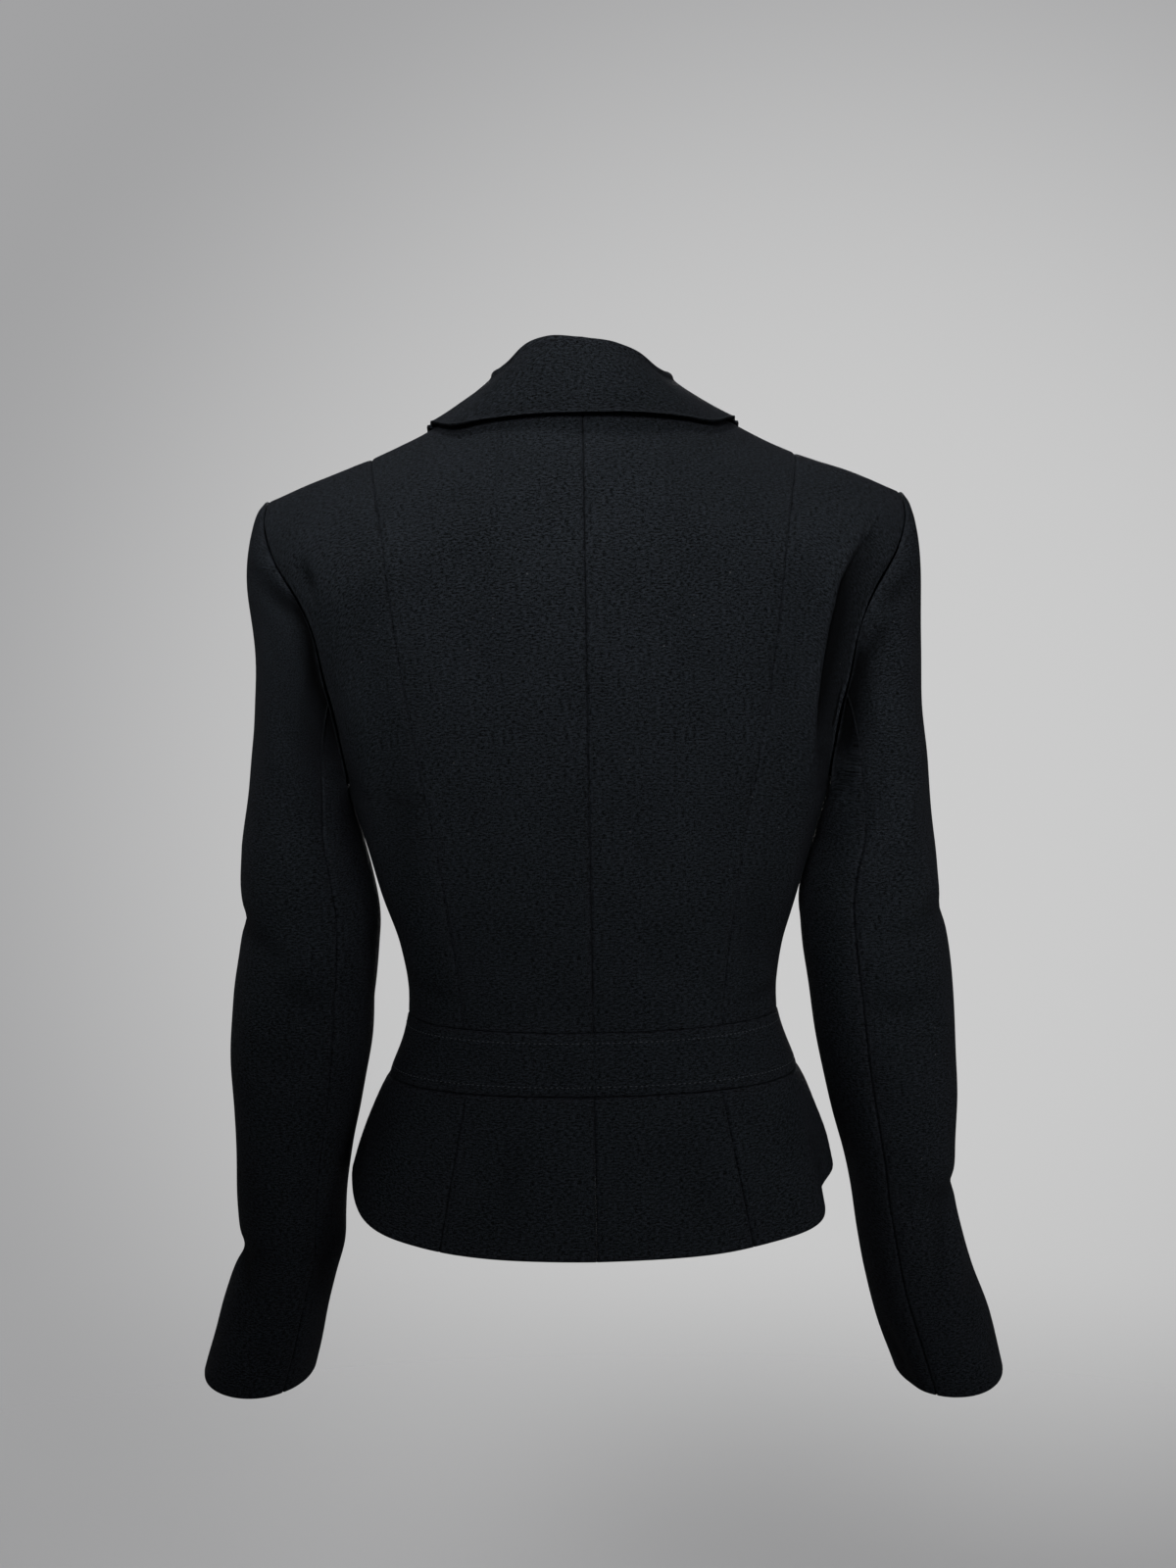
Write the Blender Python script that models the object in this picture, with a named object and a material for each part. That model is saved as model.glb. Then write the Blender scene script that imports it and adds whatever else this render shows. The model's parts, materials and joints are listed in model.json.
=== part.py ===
"""Cropped blazer, worn and hollow: princess-seamed body, waistband, flared peplum, two-piece sleeves.

Metres, +Z up. The wearer faces +Y and the back faces -Y. The origin is the centre of the neck
opening, level with the neck points of the shoulder seams. Each cut piece is one closed wall of
cloth, worked out from sections of the body and the sleeves.
"""

from collections import namedtuple

import bmesh
import bpy
import numpy as np
from mathutils import Matrix, Vector

# Driving dimensions
CLOTH = 0.0018                # thickness of the crepe wall
SEAM_GAP = 0.0003             # pieces stay this far apart at a seam
ARMHOLE_GAP = 0.0005          # wider where the sleeve folds over the armhole edge
UNDERARM_GAP = 0.0010         # more room where the sleeve turns down beside the body
LAYER_GAP = 0.0007            # air between a piece and the panel that it lies on
WAIST_TOP_Z = -0.416          # upper edge of the waistband
WAIST_BOTTOM_Z = -0.457       # lower edge of the waistband
BAND_LIFT = 0.0004            # the waistband stands this proud of the body
NECK_HALF_WIDTH = 0.052       # neck point of the shoulder seam
BACK_NECK_Z = -0.008          # neckline at centre back
SHOULDER_ROUND = 0.090        # height over which the shoulder rounds from back to front
FRONT_OVERLAP = 0.018         # front edge past the centre front
OVERLAP_FADE = (0.038, 0.078) # from the centre front, where the right front settles back on the body
BREAK_Z = -0.275              # lower end of the roll line
GORGE_Z = -0.050              # roll line's meeting with the collar end
LAPEL_DROP = 0.006            # the lapel's upper end lies this far below the collar end
LAPEL_TIP_X, LAPEL_TIP_Z = 0.106, -0.104
LAPEL_COVERED = 0.33          # share of the roll line where the right front covers the left lapel
LAPEL_FOOT = 0.006            # width of the lapel where it starts
LAPEL_SPRING = 0.0010         # the lapel's outer edge springs this far off the front
LAPEL_BULGE = 0.007           # outward bow of the lapel's edge
LAPEL_BREAK_CLEAR = 0.004     # the lapel starts this far above the break
COLLAR_ROLL = 0.004           # radius of the fold at the top of the collar
COLLAR_RISE = 0.0006          # the collar's foot stands this far above the neckline
COLLAR_LEAN = 0.0028          # the collar stands this much higher on the left and lower on the right
COLLAR_LEAN_END = 1.25        # place along the neckline where it is level again
BUTTON_RADIUS, BUTTON_HEIGHT = 0.0095, 0.0036
BUTTON_HEIGHTS = (-0.304, -0.366, -0.4365)
SLEEVE_FRONT_SEAM = -113.0    # degrees round the sleeve, 0 at the outside, positive towards the back
SLEEVE_BACK_SEAM = {"left": 124.0, "right": 113.0}
CAP_LEAVE, CAP_ARRIVE = 0.22, 1.1   # how far the sleeve head runs out before it turns down
CAP_SPREAD = 0.09             # the sleeve still widens by this much where the head ends
CAP_DROOP, CAP_FULL, CAP_RISE = 0.5, 0.12, 0.05   # direction of the cloth as it leaves the armhole
SLEEVE_DIP = {"left": 0.0085, "right": 0.0045}    # the sleeve sinks this far in below its head
DIP_Z, DIP_REACH, DIP_FROM = -0.198, 0.072, (0.200, 0.232)

# Cells along and across the walls
SIDE_SEAM_ROWS, ARMHOLE_ROWS = 5, 8
ROW_CROWDING, CAP_CROWDING = 1.5, 1.3
UNDERARM_ROW_Z = -0.270       # the row of the back panels that runs out to the underarm
UNDERARM_ROWS = 3             # armhole cells on each side of the underarm that the under sleeve takes
NECK_COLUMNS = 5
BACK_COLUMNS = 9
SIDE_COLUMNS = 6
FRONT_COLUMNS = 9
BAND_COLUMNS = {"back": 8, "front": 11}
PEPLUM_ROWS = 5
PEPLUM_COLUMNS = {"back": 5, "side": 6, "front": 12}
LAPEL_ROWS, LAPEL_COLUMNS = 9, 4
CAP_ROWS, ARM_ROWS = 6, 14
COLLAR_FRONT_STATIONS = 5
COLLAR_FALL_SHARES = (0.35, 0.7, 1.0)
BAND_ROWS = 2
BUTTON_STEPS = 16

# Level sections of the body, from the waist up
BodyRing = namedtuple("BodyRing", "z half_width back_depth front_depth squareness")
BODY = [
    BodyRing(-0.457, 0.1375, 0.094, 0.097, 2.2),
    BodyRing(-0.416, 0.1245, 0.093, 0.097, 2.2),
    BodyRing(-0.370, 0.1285, 0.096, 0.104, 2.3),
    BodyRing(-0.335, 0.1395, 0.102, 0.111, 2.4),
    BodyRing(-0.300, 0.1495, 0.107, 0.117, 2.4),
    BodyRing(-0.264, 0.1605, 0.112, 0.121, 2.4),
    BodyRing(-0.214, 0.1780, 0.117, 0.121, 2.4),
    BodyRing(-0.161, 0.1990, 0.118, 0.113, 2.4),
    BodyRing(-0.112, 0.2210, 0.114, 0.101, 2.4),
    BodyRing(-0.073, 0.2340, 0.105, 0.088, 2.4),
    BodyRing(-0.030, 0.2450, 0.088, 0.070, 2.4),
    BodyRing(0.030, 0.2550, 0.066, 0.050, 2.4),
]

# Ridge of the shoulders, from the neck outwards
RidgePoint = namedtuple("RidgePoint", "x z")
SHOULDER = [
    RidgePoint(-0.018, 0.0245),
    RidgePoint(0.000, 0.0270),
    RidgePoint(0.018, 0.0245),
    RidgePoint(0.035, 0.0150),
    RidgePoint(0.052, 0.0035),
    RidgePoint(0.080, -0.0145),
    RidgePoint(0.110, -0.0315),
    RidgePoint(0.145, -0.0475),
    RidgePoint(0.178, -0.0592),
    RidgePoint(0.2125, -0.0735),
    RidgePoint(0.255, -0.090),
]

# Back princess seam, from the waist to the shoulder
SeamPoint = namedtuple("SeamPoint", "z x")
PRINCESS = [
    SeamPoint(-0.420, 0.0840),
    SeamPoint(-0.407, 0.0848),
    SeamPoint(-0.356, 0.0900),
    SeamPoint(-0.299, 0.0980),
    SeamPoint(-0.256, 0.1055),
    SeamPoint(-0.206, 0.1137),
    SeamPoint(-0.150, 0.1215),
    SeamPoint(-0.096, 0.1285),
    SeamPoint(-0.040, 0.1410),
]
PRINCESS_TOP_X = 0.141

# Armhole edge, from the underarm to the shoulder tip
ArmholePoint = namedtuple("ArmholePoint", "z back_x front_x")
ARMHOLE = [
    ArmholePoint(-0.2640, 0.1605, 0.1605),
    ArmholePoint(-0.2580, 0.1570, 0.1550),
    ArmholePoint(-0.2420, 0.1585, 0.1540),
    ArmholePoint(-0.2135, 0.1635, 0.1560),
    ArmholePoint(-0.1900, 0.1690, 0.1590),
    ArmholePoint(-0.1610, 0.1740, 0.1640),
    ArmholePoint(-0.1380, 0.1840, 0.1750),
    ArmholePoint(-0.1120, 0.2005, 0.1955),
    ArmholePoint(-0.0900, 0.2085, 0.2075),
    ArmholePoint(-0.0721, 0.2090, 0.2090),
]

# Soft folds that hang beside the armholes, on the back
BodyFold = namedtuple("BodyFold", "side top_z bottom_z top_x bottom_x half_width height")
BODY_FOLDS = [
    BodyFold("left", -0.085, -0.330, 0.172, 0.134, 0.013, 0.0045),
    BodyFold("right", -0.080, -0.340, 0.174, 0.132, 0.014, 0.0065),
]

# Sections of the peplum, from the waistband (0) to the hem (1)
PeplumRing = namedtuple("PeplumRing", "fall half_width back_depth front_depth squareness")
PEPLUM = [
    PeplumRing(0.00, 0.1380, 0.0945, 0.0975, 2.2),
    PeplumRing(0.15, 0.1440, 0.0985, 0.1020, 2.2),
    PeplumRing(0.40, 0.1515, 0.1055, 0.1090, 2.2),
    PeplumRing(0.70, 0.1595, 0.1140, 0.1170, 2.2),
    PeplumRing(1.00, 0.1650, 0.1220, 0.1240, 2.2),
]
HemPoint = namedtuple("HemPoint", "angle z")
HEM = [
    HemPoint(0.0, -0.556),
    HemPoint(35.0, -0.554),
    HemPoint(65.0, -0.5445),
    HemPoint(90.0, -0.5270),
    HemPoint(125.0, -0.5390),
    HemPoint(180.0, -0.548),
    HemPoint(200.0, -0.548),
]
PeplumSeam = namedtuple("PeplumSeam", "fall x")
PEPLUM_SEAM = [PeplumSeam(0.0, 0.0830), PeplumSeam(0.5, 0.0920), PeplumSeam(1.0, 0.1010)]
PeplumFold = namedtuple("PeplumFold", "side angle half_angle height")
PEPLUM_FOLD_POWER = 1.3       # the folds open faster towards the hem
PEPLUM_FOLDS = [
    PeplumFold("left", 60.0, 15.0, 0.0030),
    PeplumFold("left", 108.0, 16.0, 0.0050),
    PeplumFold("left", 138.0, 13.0, -0.0050),
    PeplumFold("right", 55.0, 12.0, 0.0050),
    PeplumFold("right", 76.0, 9.0, -0.0100),
    PeplumFold("right", 100.0, 12.0, -0.0020),
    PeplumFold("right", 135.0, 13.0, -0.0050),
]

# Level sections of the sleeves, from the cuff up to below the armhole; lean tips the back edge down
SleeveRing = namedtuple("SleeveRing", "z outer_x inner_x centre_y half_depth lean")
SLEEVES = {
    "left": [
        SleeveRing(-0.672, 0.2760, 0.1985, 0.030, 0.0450, 0.17),
        SleeveRing(-0.640, 0.2660, 0.1900, 0.026, 0.0440, 0.16),
        SleeveRing(-0.605, 0.2545, 0.1815, 0.022, 0.0440, 0.14),
        SleeveRing(-0.580, 0.2455, 0.1745, 0.019, 0.0445, 0.12),
        SleeveRing(-0.560, 0.2465, 0.1730, 0.017, 0.0455, 0.11),
        SleeveRing(-0.520, 0.2460, 0.1680, 0.012, 0.0480, 0.08),
        SleeveRing(-0.483, 0.2455, 0.1600, 0.008, 0.0500, 0.06),
        SleeveRing(-0.446, 0.2460, 0.1530, 0.004, 0.0525, 0.04),
        SleeveRing(-0.405, 0.2435, 0.1490, 0.002, 0.0545, 0.02),
        SleeveRing(-0.372, 0.2375, 0.1475, 0.000, 0.0560, 0.01),
        SleeveRing(-0.352, 0.2345, 0.1470, 0.000, 0.0570, 0.0),
        SleeveRing(-0.325, 0.2355, 0.1505, 0.000, 0.0585, 0.0),
        SleeveRing(-0.300, 0.2345, 0.1555, 0.000, 0.0600, 0.0),
    ],
    "right": [
        SleeveRing(-0.679, 0.2830, 0.2075, 0.030, 0.0450, 0.17),
        SleeveRing(-0.640, 0.2740, 0.1945, 0.026, 0.0440, 0.16),
        SleeveRing(-0.605, 0.2605, 0.1855, 0.022, 0.0440, 0.14),
        SleeveRing(-0.580, 0.2535, 0.1810, 0.019, 0.0445, 0.12),
        SleeveRing(-0.545, 0.2460, 0.1755, 0.016, 0.0460, 0.10),
        SleeveRing(-0.520, 0.2470, 0.1705, 0.012, 0.0480, 0.08),
        SleeveRing(-0.483, 0.2480, 0.1610, 0.008, 0.0500, 0.06),
        SleeveRing(-0.446, 0.2460, 0.1535, 0.004, 0.0525, 0.04),
        SleeveRing(-0.405, 0.2440, 0.1475, 0.002, 0.0545, 0.02),
        SleeveRing(-0.372, 0.2405, 0.1435, 0.000, 0.0560, 0.01),
        SleeveRing(-0.340, 0.2355, 0.1430, 0.000, 0.0575, 0.0),
        SleeveRing(-0.300, 0.2315, 0.1555, 0.000, 0.0600, 0.0),
    ],
}

# Collar: place along the neckline (0 centre back, 1 neck point, 2 gorge), stand and outer edge
CollarStation = namedtuple("CollarStation", "along stand edge_x edge_z stand_off bow")
COLLAR = [
    CollarStation(0.00, 0.0310, 0.0000, -0.0265, 0.0055, 0.0035),
    CollarStation(0.40, 0.0290, 0.0360, -0.0270, 0.0052, 0.0030),
    CollarStation(0.65, 0.0225, 0.0630, -0.0290, 0.0045, 0.0016),
    CollarStation(0.85, 0.0120, 0.0840, -0.0310, 0.0038, 0.0002),
    CollarStation(1.00, 0.0068, 0.0985, -0.0262, 0.0032, -0.0010),
    CollarStation(1.25, 0.0058, 0.1020, -0.0420, 0.0032, 0.0000),
    CollarStation(1.60, 0.0065, 0.1005, -0.0575, 0.0034, 0.0010),
    CollarStation(2.00, 0.0085, 0.0950, -0.0690, 0.0038, 0.0015),
]

# Turned profile of a button, as shares of its radius and height
BUTTON_PROFILE = [(0.0, 0.62), (0.62, 0.62), (0.74, 1.0), (0.9, 1.0), (1.0, 0.72), (1.0, 0.25), (0.9, 0.0),
                  (0.0, 0.0)]

# Finishes: colour, roughness
CREPE = ((0.010, 0.012, 0.014), 0.92)
HORN = ((0.008, 0.008, 0.009), 0.35)


# Small helpers
def smooth(xs, ys, at):
    """Height at the given places of the smooth curve through the points (xs, ys)."""
    xs, ys, at = np.asarray(xs), np.asarray(ys), np.asarray(at, dtype=float)
    slope = np.gradient(ys, xs)
    i = np.clip(np.searchsorted(xs, at, side="right") - 1, 0, len(xs) - 2)
    span = xs[i + 1] - xs[i]
    t = np.clip((at - xs[i]) / span, 0.0, 1.0)
    start = (1 + 2 * t) * (1 - t) ** 2 * ys[i] + t * (1 - t) ** 2 * span * slope[i]
    end = t * t * (3 - 2 * t) * ys[i + 1] + t * t * (t - 1) * span * slope[i + 1]
    return start + end


def read(table, key, name, at):
    """Value of one named column of a table, read smoothly along another column."""
    return smooth([getattr(row, key) for row in table], [getattr(row, name) for row in table], at)


def ease(low, high, value):
    """Smooth step from 0 at low to 1 at high."""
    t = np.clip((np.asarray(value, dtype=float) - low) / (high - low), 0.0, 1.0)
    return t * t * (3 - 2 * t)


def unit(vectors):
    """The same directions with length one."""
    return vectors / np.linalg.norm(vectors, axis=-1, keepdims=True)


def mirrored(points, side):
    """Points made for the right half, moved to the given half."""
    return points * np.array([1.0 if side == "right" else -1.0, 1.0, 1.0])


# The body's outer surface
def ridge_z(x):
    """Height of the shoulder ridge at a distance from the centre."""
    return read(SHOULDER, "x", "z", np.abs(x))


def angle_at(x, z, front=False):
    """Angle round the body, from the centre back, of the point at x on the section at z."""
    ratio = np.clip(np.asarray(x) / read(BODY, "z", "half_width", z), -1.0, 1.0)
    power = read(BODY, "z", "squareness", z) / 2
    angle = np.arcsin(np.sign(ratio) * np.abs(ratio) ** power)
    return np.pi - angle if front else angle


def body_point(side, angle, z):
    """Point on the right half of the body; folds differ from side to side."""
    z = np.asarray(z, dtype=float)
    power = 2 / read(BODY, "z", "squareness", z)
    sine, cosine = np.sin(angle), np.cos(angle)
    x = read(BODY, "z", "half_width", z) * np.sign(sine) * np.abs(sine) ** power
    depth = np.where(cosine > 0, read(BODY, "z", "back_depth", z), read(BODY, "z", "front_depth", z))
    below = np.clip((ridge_z(x) - z) / SHOULDER_ROUND, 0.0, 1.0)
    rounding = np.sqrt(1 - (1 - below) ** 2)
    y = -depth * np.sign(cosine) * np.abs(cosine) ** power * rounding
    for fold in BODY_FOLDS:
        if fold.side == side:
            t = np.clip((fold.top_z - z) / (fold.top_z - fold.bottom_z), 0.0, 1.0)
            centre = fold.top_x + (fold.bottom_x - fold.top_x) * t
            swell = fold.height * np.sin(np.pi * t) * np.exp(-((x - centre) / fold.half_width) ** 2)
            y = y - swell * ease(0.0, 0.45, cosine)
    return np.stack((x, y, z + np.zeros_like(x)), axis=-1)


def body_normal(side, angle, z):
    """Outward direction of the right half of the body."""
    turn, drop = 0.01, 0.002
    along = body_point(side, angle + turn, z) - body_point(side, angle - turn, z)
    up = body_point(side, angle, z) - body_point(side, angle, z - drop)
    normal = unit(np.cross(along, up))
    x = body_point(side, angle, z)[..., 0]
    slope = (ridge_z(x + drop) - ridge_z(x - drop)) / (2 * drop)
    crest = unit(np.stack((-slope, np.zeros_like(x), np.ones_like(x)), axis=-1))
    on_ridge = (ridge_z(x) - z) < 1e-5
    return np.where(on_ridge[..., None], crest, normal)


# Seam lines of the body, as rows of (angle, z)
def row_steps(count):
    """Steps from 0 to 1 that crowd together towards 1, where the shoulder rounds over."""
    return 1 - (1 - np.linspace(0, 1, count + 1)) ** ROW_CROWDING


def row_heights(middle_z, top_z):
    """Heights of the rows of a body panel: up to about the underarm, then on to its top."""
    low = np.linspace(WAIST_TOP_Z, middle_z, SIDE_SEAM_ROWS + 1)
    return np.concatenate((low, (middle_z + (top_z - middle_z) * row_steps(ARMHOLE_ROWS))[1:]))


def centre_back_line():
    z = row_heights(UNDERARM_ROW_Z, BACK_NECK_Z)
    return np.stack((np.zeros_like(z), z), axis=-1)


def princess_line():
    z = row_heights(UNDERARM_ROW_Z, ridge_z(PRINCESS_TOP_X))
    x = read(PRINCESS, "z", "x", z)
    x[-1] = PRINCESS_TOP_X
    return np.stack((angle_at(x, z), z), axis=-1)


def armhole_line(steps, front):
    """Armhole edge from the underarm (0) to the shoulder tip (1)."""
    places = np.arange(len(ARMHOLE))
    at = np.asarray(steps) * places[-1]
    z = smooth(places, [row.z for row in ARMHOLE], at)
    x = smooth(places, [row.front_x if front else row.back_x for row in ARMHOLE], at)
    z = np.where(np.asarray(steps) >= 1.0, ridge_z(x), z)
    return np.stack((angle_at(x, z, front), z), axis=-1)


def side_line(front):
    """Side seam from the waistband to the underarm, then the armhole edge up to the shoulder tip."""
    seam_z = np.linspace(WAIST_TOP_Z, ARMHOLE[0].z, SIDE_SEAM_ROWS + 1)
    seam = np.stack((np.full_like(seam_z, np.pi / 2), seam_z), axis=-1)
    edge = armhole_line(np.linspace(0, 1, ARMHOLE_ROWS + 1), front)
    return np.concatenate((seam, edge[1:]))


def shoulder_line(start_x, end_x, count, front=False):
    x = np.linspace(start_x, end_x, count + 1)
    z = ridge_z(x)
    return np.stack((angle_at(x, z, front), z), axis=-1)


def back_neckline(steps):
    """Neckline from the centre back (0) to the neck point (1)."""
    x = NECK_HALF_WIDTH * np.asarray(steps)
    rise = ridge_z(NECK_HALF_WIDTH) - BACK_NECK_Z
    z = BACK_NECK_Z + rise * (1 - np.sqrt(np.clip(1 - np.asarray(steps) ** 2, 0.0, 1.0)))
    return np.stack((angle_at(x, z), z), axis=-1)


def roll_x(z):
    """Front edge of the neck opening: the line that the lapel turns back along."""
    t = (np.asarray(z) - BREAK_Z) / (ridge_z(NECK_HALF_WIDTH) - BREAK_Z)
    return -FRONT_OVERLAP + (NECK_HALF_WIDTH + FRONT_OVERLAP) * t


def front_edge_line():
    """Front edge up to the break, then the roll line up to the neck point."""
    z = row_heights(BREAK_Z, ridge_z(NECK_HALF_WIDTH))
    x = np.where(z > BREAK_Z, roll_x(z), -FRONT_OVERLAP)
    return np.stack((angle_at(x, z, front=True), z), axis=-1)


def patch(inner, outer, bottom, top):
    """Coons patch, in angle and height, between four border lines."""
    v = np.linspace(0, 1, len(inner))[:, None, None]
    u = np.linspace(0, 1, len(bottom))[None, :, None]
    ruled = (1 - u) * inner[:, None] + u * outer[:, None]
    crossed = (1 - v) * bottom[None] + v * top[None]
    corners = (1 - u) * (1 - v) * inner[0] + u * (1 - v) * outer[0]
    corners = corners + (1 - u) * v * inner[-1] + u * v * outer[-1]
    return ruled + crossed - corners


def straight(start, end, count):
    return np.linspace(start, end, count + 1)


# Walls of cloth
def material(name, finish):
    colour, roughness = finish
    made = bpy.data.materials.new(name)
    made.use_nodes = True
    made.diffuse_color = (*colour, 1.0)
    shader = made.node_tree.nodes["Principled BSDF"]
    shader.inputs["Base Color"].default_value = (*colour, 1.0)
    shader.inputs["Roughness"].default_value = roughness
    shader.inputs["Metallic"].default_value = 0.0
    return made


def add_object(name, mesh, finish):
    piece = bpy.data.objects.new(name, mesh)
    mesh.materials.append(material(name, finish))
    mesh.shade_smooth()
    mesh.set_sharp_from_angle(angle=np.radians(40))
    bpy.context.scene.collection.objects.link(piece)
    piece.parent = blazer
    return piece


def drawn_in(grid, borders="bottom top first last"):
    """The grid with its named borders moved inwards by half a seam gap."""
    grid = grid.copy()
    half = SEAM_GAP / 2
    if "bottom" in borders:
        grid[0] += half * unit(grid[1] - grid[0])
    if "top" in borders:
        grid[-1] += half * unit(grid[-2] - grid[-1])
    if "first" in borders:
        grid[:, 0] += half * unit(grid[:, 1] - grid[:, 0])
    if "last" in borders:
        grid[:, -1] += half * unit(grid[:, -2] - grid[:, -1])
    return grid


def wall(name, side, outside, normals, thickness=CLOTH):
    """Closed wall of cloth from a grid of outer points; made for the right half, then placed."""
    inside = outside - normals * thickness
    outside, inside = mirrored(outside, side), mirrored(inside, side)
    if side == "left":
        outside, inside = outside[:, ::-1], inside[:, ::-1]
    rows, columns = outside.shape[:2]
    mesh = bmesh.new()
    outer = [[mesh.verts.new(outside[i, j]) for j in range(columns)] for i in range(rows)]
    inner = [[mesh.verts.new(inside[i, j]) for j in range(columns)] for i in range(rows)]
    for i in range(rows - 1):
        for j in range(columns - 1):
            mesh.faces.new((outer[i][j], outer[i][j + 1], outer[i + 1][j + 1], outer[i + 1][j]))
            mesh.faces.new((inner[i][j], inner[i + 1][j], inner[i + 1][j + 1], inner[i][j + 1]))
    for i in range(rows - 1):
        mesh.faces.new((outer[i][0], outer[i + 1][0], inner[i + 1][0], inner[i][0]))
        mesh.faces.new((outer[i + 1][-1], outer[i][-1], inner[i][-1], inner[i + 1][-1]))
    for j in range(columns - 1):
        mesh.faces.new((outer[0][j + 1], outer[0][j], inner[0][j], inner[0][j + 1]))
        mesh.faces.new((outer[-1][j], outer[-1][j + 1], inner[-1][j + 1], inner[-1][j]))
    bmesh.ops.triangulate(mesh, faces=mesh.faces[:], quad_method="SHORT_EDGE")
    data = bpy.data.meshes.new(name)
    mesh.to_mesh(data)
    mesh.free()
    return add_object(name, data, CREPE)


def body_wall(name, side, lines, lift=0.0):
    """Panel of the body from its patch of angles and heights, lifted off the body where told."""
    angle, z = lines[..., 0], lines[..., 1]
    normals = body_normal(side, angle, z)
    outside = body_point(side, angle, z) + normals * np.asarray(lift)[..., None]
    return wall(name, side, drawn_in(outside), normals)


def overlap_lift(side, angle, z):
    """The right front lies over the left one at the centre front."""
    if side == "left":
        return np.zeros_like(angle)
    x = body_point(side, angle, z)[..., 0]
    return (CLOTH + LAYER_GAP) * (1 - ease(*OVERLAP_FADE, x))


# Body panels
def make_back(side):
    inner, outer = centre_back_line(), princess_line()
    neck = back_neckline(np.linspace(0, 1, NECK_COLUMNS + 1))
    shoulder = shoulder_line(NECK_HALF_WIDTH, PRINCESS_TOP_X, BACK_COLUMNS - NECK_COLUMNS)
    top = np.concatenate((neck, shoulder[1:]))
    bottom = straight(inner[0], outer[0], BACK_COLUMNS)
    body_wall(f"back_{side}", side, patch(inner, outer, bottom, top))


def make_side_back(side):
    inner, outer = princess_line(), side_line(front=False)
    top = shoulder_line(PRINCESS_TOP_X, ARMHOLE[-1].back_x, SIDE_COLUMNS)
    bottom = straight(inner[0], outer[0], SIDE_COLUMNS)
    body_wall(f"side_back_{side}", side, patch(inner, outer, bottom, top))


def make_front(side):
    inner, outer = side_line(front=True), front_edge_line()
    top = shoulder_line(ARMHOLE[-1].front_x, NECK_HALF_WIDTH, FRONT_COLUMNS, front=True)
    bottom = straight(inner[0], outer[0], FRONT_COLUMNS)
    lines = patch(inner, outer, bottom, top)
    body_wall(f"front_{side}", side, lines, overlap_lift(side, lines[..., 0], lines[..., 1]))


def make_lapel(side):
    """Turned-back edge of the front; the left one starts where the right front leaves it clear."""
    covered_z = BREAK_Z + (ridge_z(NECK_HALF_WIDTH) - BREAK_Z) * LAPEL_COVERED
    start_z = BREAK_Z + LAPEL_BREAK_CLEAR if side == "right" else covered_z
    steps = np.linspace(0, 1, LAPEL_ROWS + 1)
    roll_z = start_z + (GORGE_Z - LAPEL_DROP - start_z) * steps
    roll = np.stack((roll_x(roll_z) + CLOTH, roll_z), axis=-1)
    tip_share = (start_z - BREAK_Z) / (LAPEL_TIP_Z - BREAK_Z)
    start_width = LAPEL_FOOT + (LAPEL_TIP_X - roll_x(LAPEL_TIP_Z) - LAPEL_FOOT) * tip_share
    edge_z = start_z + (LAPEL_TIP_Z - start_z) * steps
    edge_x = roll_x(start_z) + start_width
    edge_x = edge_x + (LAPEL_TIP_X - edge_x) * steps + LAPEL_BULGE * np.sin(np.pi * steps)
    edge = np.stack((edge_x, edge_z), axis=-1)
    across = np.linspace(0, 1, LAPEL_COLUMNS + 1)[None, ::-1, None]
    flat = roll[:, None] * (1 - across) + edge[:, None] * across
    angle, z = angle_at(flat[..., 0], flat[..., 1], front=True), flat[..., 1]
    normals = body_normal(side, angle, z)
    lift = CLOTH + LAYER_GAP + LAPEL_SPRING * np.sqrt(across[..., 0]) + overlap_lift(side, angle, z)
    wall(f"lapel_{side}", side, body_point(side, angle, z) + normals * lift[..., None], normals)


def make_waistband(side):
    for part, start, end in (("back", 0.0, np.pi / 2), ("front", np.pi / 2, None)):
        z = np.linspace(WAIST_BOTTOM_Z, WAIST_TOP_Z, BAND_ROWS + 1)
        stop = angle_at(-FRONT_OVERLAP, z, front=True) if end is None else np.full_like(z, end)
        across = np.linspace(0, 1, BAND_COLUMNS[part] + 1)
        angle = start + (stop[:, None] - start) * across[None]
        z = z[:, None] + np.zeros_like(angle)
        lift = BAND_LIFT + (overlap_lift(side, angle, z) if part == "front" else np.zeros_like(z))
        body_wall(f"waistband_{part}_{side}", side, np.stack((angle, z), axis=-1), lift)


# Peplum
def peplum_point(side, angle, fall):
    """Point on the right half of the peplum at a share of the way down to the hem."""
    power = 2 / read(PEPLUM, "fall", "squareness", fall)
    sine, cosine = np.sin(angle), np.cos(angle)
    depth = np.where(cosine > 0, read(PEPLUM, "fall", "back_depth", fall),
                     read(PEPLUM, "fall", "front_depth", fall))
    x = read(PEPLUM, "fall", "half_width", fall) * np.sign(sine) * np.abs(sine) ** power
    y = -depth * np.sign(cosine) * np.abs(cosine) ** power
    for fold in PEPLUM_FOLDS:
        if fold.side == side:
            near = np.exp(-((np.degrees(angle) - fold.angle) / fold.half_angle) ** 2)
            swell = fold.height * near * np.clip(fall, 0.0, None) ** PEPLUM_FOLD_POWER
            x, y = x + swell * sine, y - swell * cosine
    hem_z = read(HEM, "angle", "z", np.degrees(angle))
    z = WAIST_BOTTOM_Z + (hem_z - WAIST_BOTTOM_Z) * fall
    return np.stack((x, y, z), axis=-1)


def peplum_normal(side, angle, fall):
    turn, step = 0.01, 0.02
    along = peplum_point(side, angle + turn, fall) - peplum_point(side, angle - turn, fall)
    down = peplum_point(side, angle, fall + step) - peplum_point(side, angle, fall - step)
    return unit(np.cross(down, along))


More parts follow.
